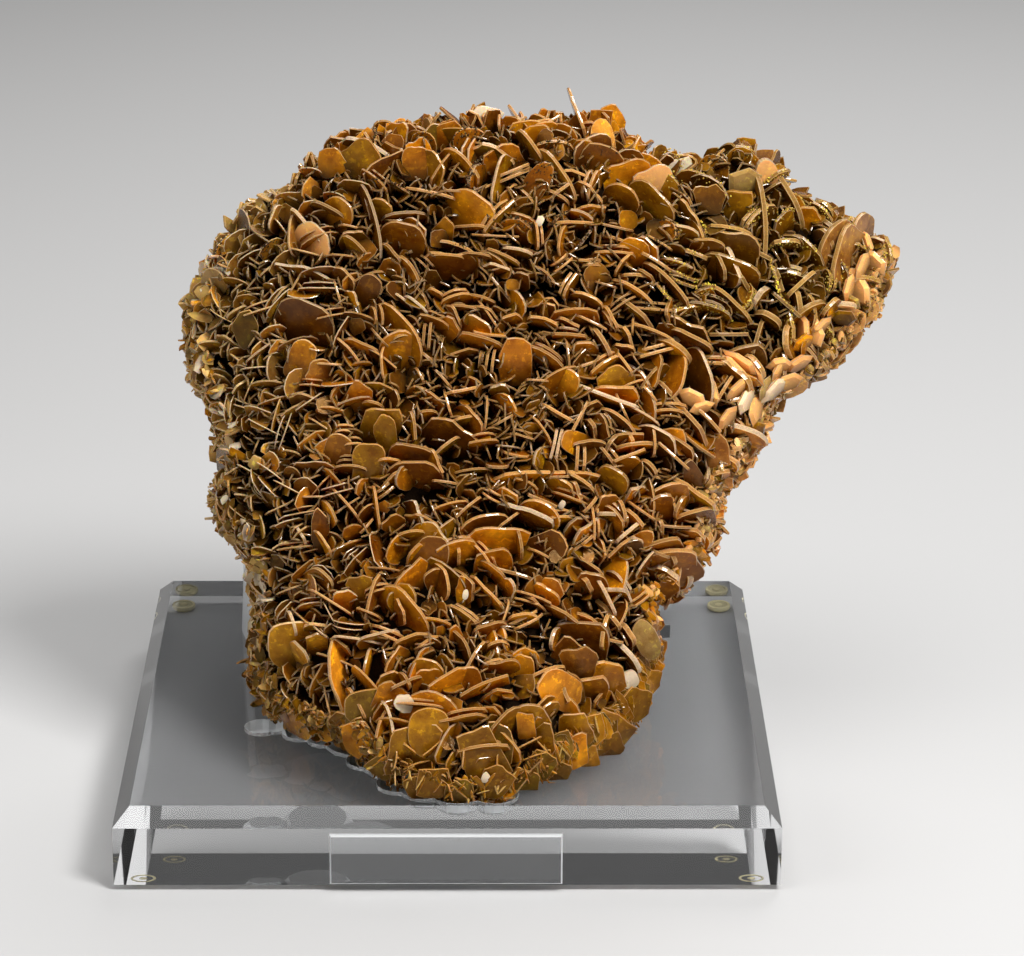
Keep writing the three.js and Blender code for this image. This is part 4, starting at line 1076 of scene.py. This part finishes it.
class WULFENITE_OT_crust(bpy.types.Operator):
    """Grow the crust of smaller plates over the whole face and round its rim"""

    bl_idname = "wulfenite.crust"
    bl_label = "Crust"

    def execute(self, context):
        self.settings = context.scene.wulfenite_crust
        self.thickness = self.settings.thickness / MM
        random = np.random.default_rng(self.settings.seed + 1)
        plate, small_plate = model_plate(CRUST_CORNERS), model_plate(SMALL_CORNERS)
        plates, infill, deep, rim, rubble = (Plates() for _ in range(5))
        for u, v, gap in self.seats(random):
            self.grow(plates, u, v, gap, random)
        self.fill(infill, *INFILL, False, random)
        self.fill(deep, *DEEP_INFILL, True, random)
        self.fringe(rim, random)
        for row in RUBBLE:
            self.rubble(rubble, row, random)
        self.druse(plates, random)
        material = crystal_material()
        plates.build("crust_plates", plate, 24, material, random)
        infill.build("infill_plates", plate, 16, material, random)
        deep.build("hollow_plates", small_plate, 16, material, random)
        rim.build("rim_plates", plate, 24, material, random, exposed=True, kind="broken")
        rubble.build("rim_rubble", small_plate, 30, material, random, exposed=True, kind="broken")
        return {"FINISHED"}

    def gap_at(self, u, v):
        """Distance between crystals: small on the left, larger on the top, the arm and the lip."""
        size = 0.76 + 0.24 * smooth(u, -70, 5) + 0.16 * smooth(v, 105, 140) * smooth(-u, 5, 70)
        size = size + 0.15 * smooth(v, 150, 195) * smooth(u, -60, -20)
        size = size + 0.2 * smooth(u, 60, 110) + 0.2 * smooth(-v, -80, -30) + 0.3 * smooth(-v, -25, 5)
        return self.settings.spacing / MM * size

    def seats(self, random):
        """Places for crystals, none closer to another than the gap there."""
        tries = random.uniform(*CRUST_AREA, (CRUST_TRIES, 2))
        out = share_of(*tries.T)
        on_wall = (out > 0.9) & (tries[:, 1] < 9) & (tries[:, 0] < 62) & (tries[:, 0] > -44)
        tries = tries[(out < 0.985) & ~on_wall]
        allowed = 0.01 + 0.05 * smooth(-tries[:, 1], -30, 0)
        tries = tries[~behind_placed_crystals(*tries.T) | (random.random(len(tries)) < allowed)]
        kept = np.empty((0, 3))
        for (u, v), gap in zip(tries, self.gap_at(*tries.T)):
            if (np.hypot(kept[:, 0] - u, kept[:, 1] - v) > 0.5 * (kept[:, 2] + gap)).all():
                kept = np.vstack([kept, (u, v, gap)])
        return kept

    def bearing_at(self, u, v, random):
        """Bearing of a crystal's edge: falling to the right on the right, level in the middle."""
        if random.random() < ASKEW_SHARE:
            return random.uniform(-math.pi / 2, math.pi / 2)
        drift = -8 - 28 * smooth(u, 10, 70)
        drift = drift + 20 * math.sin(u / 19 + v / 31) + 14 * math.sin(v / 13 - u / 23)
        return math.radians(drift + random.normal(0, 30))

    def grow(self, plates, u, v, gap, random):
        """One crystal or a stack of them side by side."""
        heading = self.bearing_at(u, v, random)
        usual = 10 + 30 * smooth(-v, -35, 0) + 8 * smooth(v, 160, 195)
        turned = random.random() < TURNED_SHARE
        tilt = math.radians(np.clip(random.normal(usual + 28 * turned, 14), -35, 62))
        longest = LONGEST_EDGE - 8 * smooth(share_of(u, v)[0], 0.86, 0.97)
        edge = min(gap * random.uniform(1.2, 2.0 if turned else 2.8), longest)
        needle = random.random() < NEEDLE_SHARE * smooth(-u, 0, 50)
        if needle:
            edge = random.uniform(*NEEDLE_LENGTHS)
        growth = growth_direction(np.array([u]), np.array([v]))[0]
        along, inward = turned_plate(growth, headed(heading), tilt)
        height = skin(u, v)[0] - (random.uniform(-0.8, 0.8) if needle else abs(random.normal(0, 1.7)))
        face, rim = zone_colours(self.settings, u, v, random)
        if needle:
            # a needle's pale rim is a painted highlight along its thin edge
            thick, rim = NEEDLE_THICKNESS, toward(rim, self.settings.tone("white"), 0.5)
        else:
            thick = self.thickness * (0.45 + 0.42 * smooth(u, -65, 5) + 0.36 * smooth(u, 55, 110))
            thick = thick * random.uniform(0.75, 1.3)
        stack = 1 + (random.random() < SECOND_SHARE) + (random.random() < THIRD_SHARE)
        normal = np.cross(along, inward)
        for i in range(stack):
            half = 0.5 * edge * (1 - 0.12 * i)
            deep = max(half * random.uniform(0.75, 1.0), (crust_depth(u, v) - 1) / 2 / math.cos(tilt))
            tip = place(u, v, height - 0.8 * i) + normal * i * random.uniform(1.5, 2.4)
            plates.add(tip, along, inward, half, deep, thick, face * random.uniform(0.9, 1.1), rim,
                       bend=random.normal(0, 0.015) * edge)

    def druse(self, plates, random):
        """Tiny yellow crystals on the upper parts of the plates on the arm, and dark grains on the
        top ones."""
        start_afresh()
        bpy.ops.mesh.primitive_uv_sphere_add(segments=4, ring_count=3, radius=1)
        points, faces = lift_shape(bpy.context.object)
        spots, sizes, tones = [], [], []
        for tip, along, inward, half_length, half_depth, thickness, *_ in plates.rows:
            u, v, _ = place_in_stone(tip)
            yellow = 0.9 * smooth(u, 45, 90) * smooth(v, 118, 150)
            if random.random() > max(yellow, 0.4 * smooth(v, 150, 190)):
                continue
            tone = self.settings.tone("druse" if random.random() < yellow else "soot")
            normal = np.cross(along, inward)
            front = 0.5 if normal @ ALONG_W > 0 else -0.5
            for turn in random.normal(-math.pi / 2, 0.8, random.integers(*GRAIN_COUNTS)):
                out = random.uniform(0.98, 1.0) if random.random() < 0.6 else random.uniform(0.5, 0.98)
                spot = tip + inward * half_depth * (1 + out * math.sin(turn))
                spot = spot + along * half_length * out * math.cos(turn)
                side = front if out < 0.98 else random.uniform(-0.5, 0.5)
                spots.append(spot + normal * thickness * side)
                sizes.append(random.uniform(*GRAIN_SIZES))
                tones.append(tone * random.uniform(0.35, 1.3))
        turns = unit(random.normal(size=(len(spots), 3)))
        others = unit(np.cross(turns, (0.3, 0.5, 0.8)))
        axes = np.stack([turns, others, np.cross(turns, others)], 1)
        stretch = np.array(sizes)[:, None, None] * random.uniform(0.75, 1.25, (len(spots), 1, 3))
        placed = np.array(spots)[:, None] + (points * stretch) @ axes
        tones = np.repeat(np.array(tones), len(points), 0)
        none = np.zeros(len(tones))
        mesh_of_copies("druse", placed, faces, crystal_material(), {
            "face_colour": tones, "rim_colour": tones, "rim": none, "depth": none})

    def fill(self, plates, count, heights, halves, deep, random):
        """Small crystals in the hollows between the others, or deep under them."""
        spots = random.uniform(*HOLLOW_AREA, (3 * count, 2))
        spots = spots[share_of(*spots.T) < 0.96]
        if not deep:
            spots = spots[~behind_placed_crystals(*spots.T)]
        spots = spots[:count]
        olive = 0.2 * self.settings.tone("olive")
        for (u, v), growth, height in zip(spots, growth_direction(*spots.T), skin(*spots.T)):
            tangent = headed(random.uniform(-math.pi, math.pi))
            along, inward = turned_plate(growth, tangent, random.normal(0, 0.45 if deep else 0.4))
            face, rim = zone_colours(self.settings, u, v, random)
            half = random.uniform(*halves)
            tip = place(u, v, height - random.uniform(*heights))
            # painted shade in the hollows: the colours are dimmed and a shade offset added, more for the
            # deep ones; the olive is their own tone
            plates.add(tip, along, inward, half, half * 1.2, 0.55 * self.thickness,
                       0.6 * face + olive, 0.55 * rim + olive, shade=0.2 if deep else 0.1)

    def fringe(self, plates, random):
        """Small crystals that point outwards all round the rim and a little way down its side."""
        bearings = random.uniform(-math.pi, math.pi, FRINGE_COUNT)
        for bearing, span in zip(bearings, reach(bearings)):
            far = random.random() < FAR_SHARE and not -0.5 < bearing < 0.42
            drop = random.uniform(12, 32) if far else random.uniform(0, 14)
            if any(first < (bearing - first) % FULL_TURN + first < last
                   and random.random() < COVERED_SHARE for first, last, *_ in RUBBLE[:-1]):
                continue
            inset = random.uniform(2.5, 5.5) if far else random.uniform(-1.8, 4)
            u, v = from_heart(bearing, span - inset)
            growth = unit(ALONG_W * max(0.1, 0.9 - 0.1 * drop) + headed(bearing))
            tangent = headed(random.uniform(-math.pi, math.pi)) + ALONG_W * random.normal(0, 1)
            along, inward = turned_plate(growth, tangent, np.clip(random.normal(0, 0.5), -0.7, 0.7))
            colours = zone_colours(self.settings, u, v, random)
            left = random.uniform(0, 1) * float(smooth(-u, 45, 65))
            face, rim = (toward(tone, self.settings.tone("straw"), left) for tone in colours)
            half = random.uniform(2.0, 5.4) * (0.65 if far else 1)
            tip = place(u, v, skin(u, v)[0] - drop)
            plates.add(tip, along, inward, half, max(half, 5.0), 0.9 * self.thickness, face, rim)

    def rubble(self, plates, row, random):
        """Small broken pieces lying on the outer side of one stretch of the rim."""
        first, last, count, halves, breadths, thicknesses, thrown, drawn, lift, tones = row
        bearings = random.uniform(first, last, count)
        for bearing, span in zip(bearings, reach(bearings)):
            down = random.random()
            u, v = from_heart(bearing, span - 9 + WALL_OUT * down + random.normal(0, 0.5))
            outwards = unit(headed(bearing) * (0.35 + 0.6 * down) + ALONG_W * (1 - 0.5 * down))
            middle = place(u, v, skin(u, v)[0] - 2 - WALL_DOWN * down**2)
            middle = middle + outwards * lift * random.random()
            normal = unit(outwards + thrown * random.normal(size=3))
            downwards = WALL_OUT * headed(bearing) - WALL_DOWN * ALONG_W
            across = random.normal(size=3) + 0.25 * drawn * np.cross(normal, downwards)
            along = unit(np.cross(normal, across))
            inward = np.cross(normal, along)
            half = random.uniform(*halves)
            deep = half * random.uniform(*breadths)
            face = self.settings.tone(random.choice(tones)) * random.uniform(0.4, 1.25)
            pale = random.uniform(0.1, 0.9) if deep > 0.15 * half else 0.9
            rim = face * (1 - 0.6 * pale) + self.settings.tone("rim") * pale
            thick = random.uniform(*thicknesses)
            # a negative shade offset keeps these pieces from taking much painted shade towards their
            # roots
            plates.add(middle - inward * deep, along, inward, half, deep, thick, face, rim, shade=-0.45)


class WULFENITE_OT_stand(bpy.types.Operator):
    """Finish the clear acrylic block, upright, label plate and bumper feet"""

    bl_idname = "wulfenite.stand"
    bl_label = "Stand"

    def execute(self, context):
        settings = context.scene.wulfenite_stand
        low, high = BLOCK
        margin = (BEVEL + 0.4) * MM
        carved = [(low[0] + margin, high[0] - margin), (low[1] + margin, high[1] - margin),
                  (low[2] + 0.5 * MM, high[2] - 0.02 * MM)]
        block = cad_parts["base_block"]
        block.data.materials.clear()
        block.data.materials.append(block_material(settings, carved))
        clear, cut, frosted, rubber = (clear_material(*values)[0] for values in (
            ("acrylic_clear", settings.clear_colour, 1, settings.polish),
            ("acrylic_cut_edge", settings.clear_colour, 0.55, settings.frost),
            ("acrylic_frosted", (0.94, 0.96, 0.97), 0.1, 0.75),
            ("bumper_clear", settings.bumper_colour, 0.2, 0.2, RUBBER_IOR)))
        self.sheet("label_plate", "label", (0, -GLUE * MM, 0), clear, cut, 1)
        self.sheet("upright_slab", "upright", (0, 0, GLUE * MM), clear, cut, 0)
        self.frost(carved, frosted)
        self.bumpers(rubber)
        return {"FINISHED"}

    def sheet(self, node_name, name, gap, clear, cut, axis):
        """A sheet of acrylic set off by the thickness of its glue, its sawn edges left dull.
        axis is the one that the polished faces look along, or 0 for those that look along Y and Z."""
        sheet = copy_of(node_name, name)
        bpy.ops.transform.translate(value=gap)
        bpy.ops.object.mode_set(mode="OBJECT")
        bpy.ops.object.transform_apply(location=True)
        for material in (clear, cut):
            sheet.data.materials.append(material)
        for polygon in sheet.data.polygons:
            normal = polygon.normal
            polygon.material_index = abs(normal.x) > 0.8 if axis == 0 else abs(normal[axis]) < 0.9
        carry(sheet)
        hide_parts(node_name)

    def frost(self, carved, material):
        """The dull white skin that the burr left on the walls and floor of the recess."""
        walls = copy_of("base_block", "recess_frost")
        bpy.ops.mesh.select_mode(type="FACE")
        bpy.ops.mesh.select_all(action="DESELECT")
        bpy.ops.object.mode_set(mode="OBJECT")
        for polygon in walls.data.polygons:
            polygon.select = not all(
                low < middle < high for middle, (low, high) in zip(polygon.center, carved))
        bpy.ops.object.mode_set(mode="EDIT")
        bpy.ops.mesh.delete(type="FACE")
        bpy.ops.mesh.select_mode(type="VERT")
        bpy.ops.mesh.select_all(action="SELECT")
        bpy.ops.transform.shrink_fatten(value=GLUE * MM)
        bpy.ops.object.mode_set(mode="OBJECT")
        solid = walls.modifiers.new("thickness", "SOLIDIFY")
        solid.thickness = FROST_SKIN * MM
        solid.offset = 1
        bpy.ops.object.modifier_apply(modifier=solid.name)
        walls.data.materials.append(material)
        carry(walls)

    def bumpers(self, material):
        """Round feet, turned from one profile and copied to the four corners."""
        mesh = bpy.data.meshes.new("bumper")
        edges = [(i, i + 1) for i in range(len(BUMPER_PROFILE) - 1)]
        mesh.from_pydata([(radius * MM, 0, height * MM) for radius, height in BUMPER_PROFILE], edges, [])
        first = put_in_scene("bumper", mesh)
        edit_all(first)
        bpy.ops.mesh.spin(steps=40, angle=FULL_TURN, center=(0, 0, 0), axis=(0, 0, 1))
        bpy.ops.mesh.select_all(action="SELECT")
        bpy.ops.mesh.remove_doubles(threshold=MERGE_DISTANCE)
        close_facing_out()
        bpy.ops.object.shade_smooth_by_angle(angle=math.radians(40))
        for corner in ("front_left", "front_right", "rear_left", "rear_right"):
            low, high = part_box(f"foot_{corner}")
            foot = put_in_scene(f"bumper_{corner}", first.data.copy())
            foot.data.transform(Matrix.Translation(((low.x + high.x) / 2, (low.y + high.y) / 2, 0)))
            foot.data.materials.append(material)
            carry(foot)
            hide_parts(f"foot_{corner}")
        bpy.data.objects.remove(first, do_unlink=True)


class WULFENITE_OT_stage(bpy.types.Operator):
    """Set the floor, the lights, the air and the camera"""

    bl_idname = "wulfenite.stage"
    bl_label = "Stage"

    def execute(self, context):
        scene = context.scene
        settings = scene.wulfenite_stage
        start_afresh()
        bpy.ops.mesh.primitive_plane_add(size=settings.floor_size, location=(0, 0, -0.0001))
        floor = context.object
        floor.name = "floor"
        paper, _, _ = new_material("floor_paper", {
            "Base Color": (*settings.floor_colour, 1), "Roughness": 0.7})
        floor.data.materials.append(paper)
        for name, size, spot in LIGHTS:
            lamp = bpy.data.lights.new(name, "AREA")
            lamp.energy = getattr(settings, f"{name}_power")
            lamp.size = size
            light = put_in_scene(name, lamp)
            light.location = spot
            light.rotation_euler = (LIGHTS_AIM - Vector(spot)).to_track_quat("-Z", "Y").to_euler()
            light.visible_transmission = False
        scene.world = bpy.data.worlds.new("air")
        scene.world.use_nodes = True
        air = scene.world.node_tree
        feed(air, air.nodes["Background"], {"Color": (1, 1, 1, 1), "Strength": settings.sky})
        scene.view_settings.view_transform = "Standard"
        scene.camera = self.camera()
        return {"FINISHED"}

    def camera(self):
        level = math.cos(PITCH)
        ahead = Vector((math.sin(YAW) * level, math.cos(YAW) * level, -math.sin(PITCH)))
        right = Vector((math.cos(YAW), -math.sin(YAW), 0))
        over = right.cross(ahead)
        right, over = (math.cos(ROLL) * right + math.sin(ROLL) * over,
                       math.cos(ROLL) * over - math.sin(ROLL) * right)
        lens = bpy.data.cameras.new("camera")
        lens.lens, lens.sensor_width, lens.clip_end = FOCAL_LENGTH, SENSOR_WIDTH, VIEW_DEPTH
        eye = put_in_scene("camera", lens)
        turn = Matrix((right, over, -ahead)).transposed().to_4x4()
        eye.matrix_world = Matrix.Translation(Vector(BLOCK_MIDDLE * MM) + Vector(EYE)) @ turn
        return eye


class WULFENITE_PT_panel(bpy.types.Panel):
    bl_label = "Wulfenite"
    bl_idname = "WULFENITE_PT_panel"
    bl_space_type = "VIEW_3D"
    bl_region_type = "UI"
    bl_category = "Wulfenite"

    def draw(self, context):
        for operator in OPERATORS:
            self.layout.operator(operator.bl_idname)


# ------------------------------------------------------------------ registration and the run

SETTINGS = {
    "wulfenite_stage": StageSettings,
    "wulfenite_stand": StandSettings,
    "wulfenite_matrix": MatrixSettings,
    "wulfenite_crust": CrustSettings,
}
OPERATORS = (
    WULFENITE_OT_stage,
    WULFENITE_OT_stand,
    WULFENITE_OT_matrix,
    WULFENITE_OT_placed_crystals,
    WULFENITE_OT_crust,
)


def register():
    for kind in (*SETTINGS.values(), *OPERATORS, WULFENITE_PT_panel):
        bpy.utils.register_class(kind)
    for name, kind in SETTINGS.items():
        setattr(bpy.types.Scene, name, bpy.props.PointerProperty(type=kind))


def unregister():
    for name in SETTINGS:
        delattr(bpy.types.Scene, name)
    for kind in (WULFENITE_PT_panel, *reversed(OPERATORS), *reversed(SETTINGS.values())):
        bpy.utils.unregister_class(kind)


def main():
    register()
    bpy.ops.wulfenite.stage()
    bpy.ops.wulfenite.stand()
    bpy.ops.wulfenite.matrix()
    bpy.ops.wulfenite.placed_crystals()
    bpy.ops.wulfenite.crust()
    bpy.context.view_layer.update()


if __name__ == "__main__":
    main()
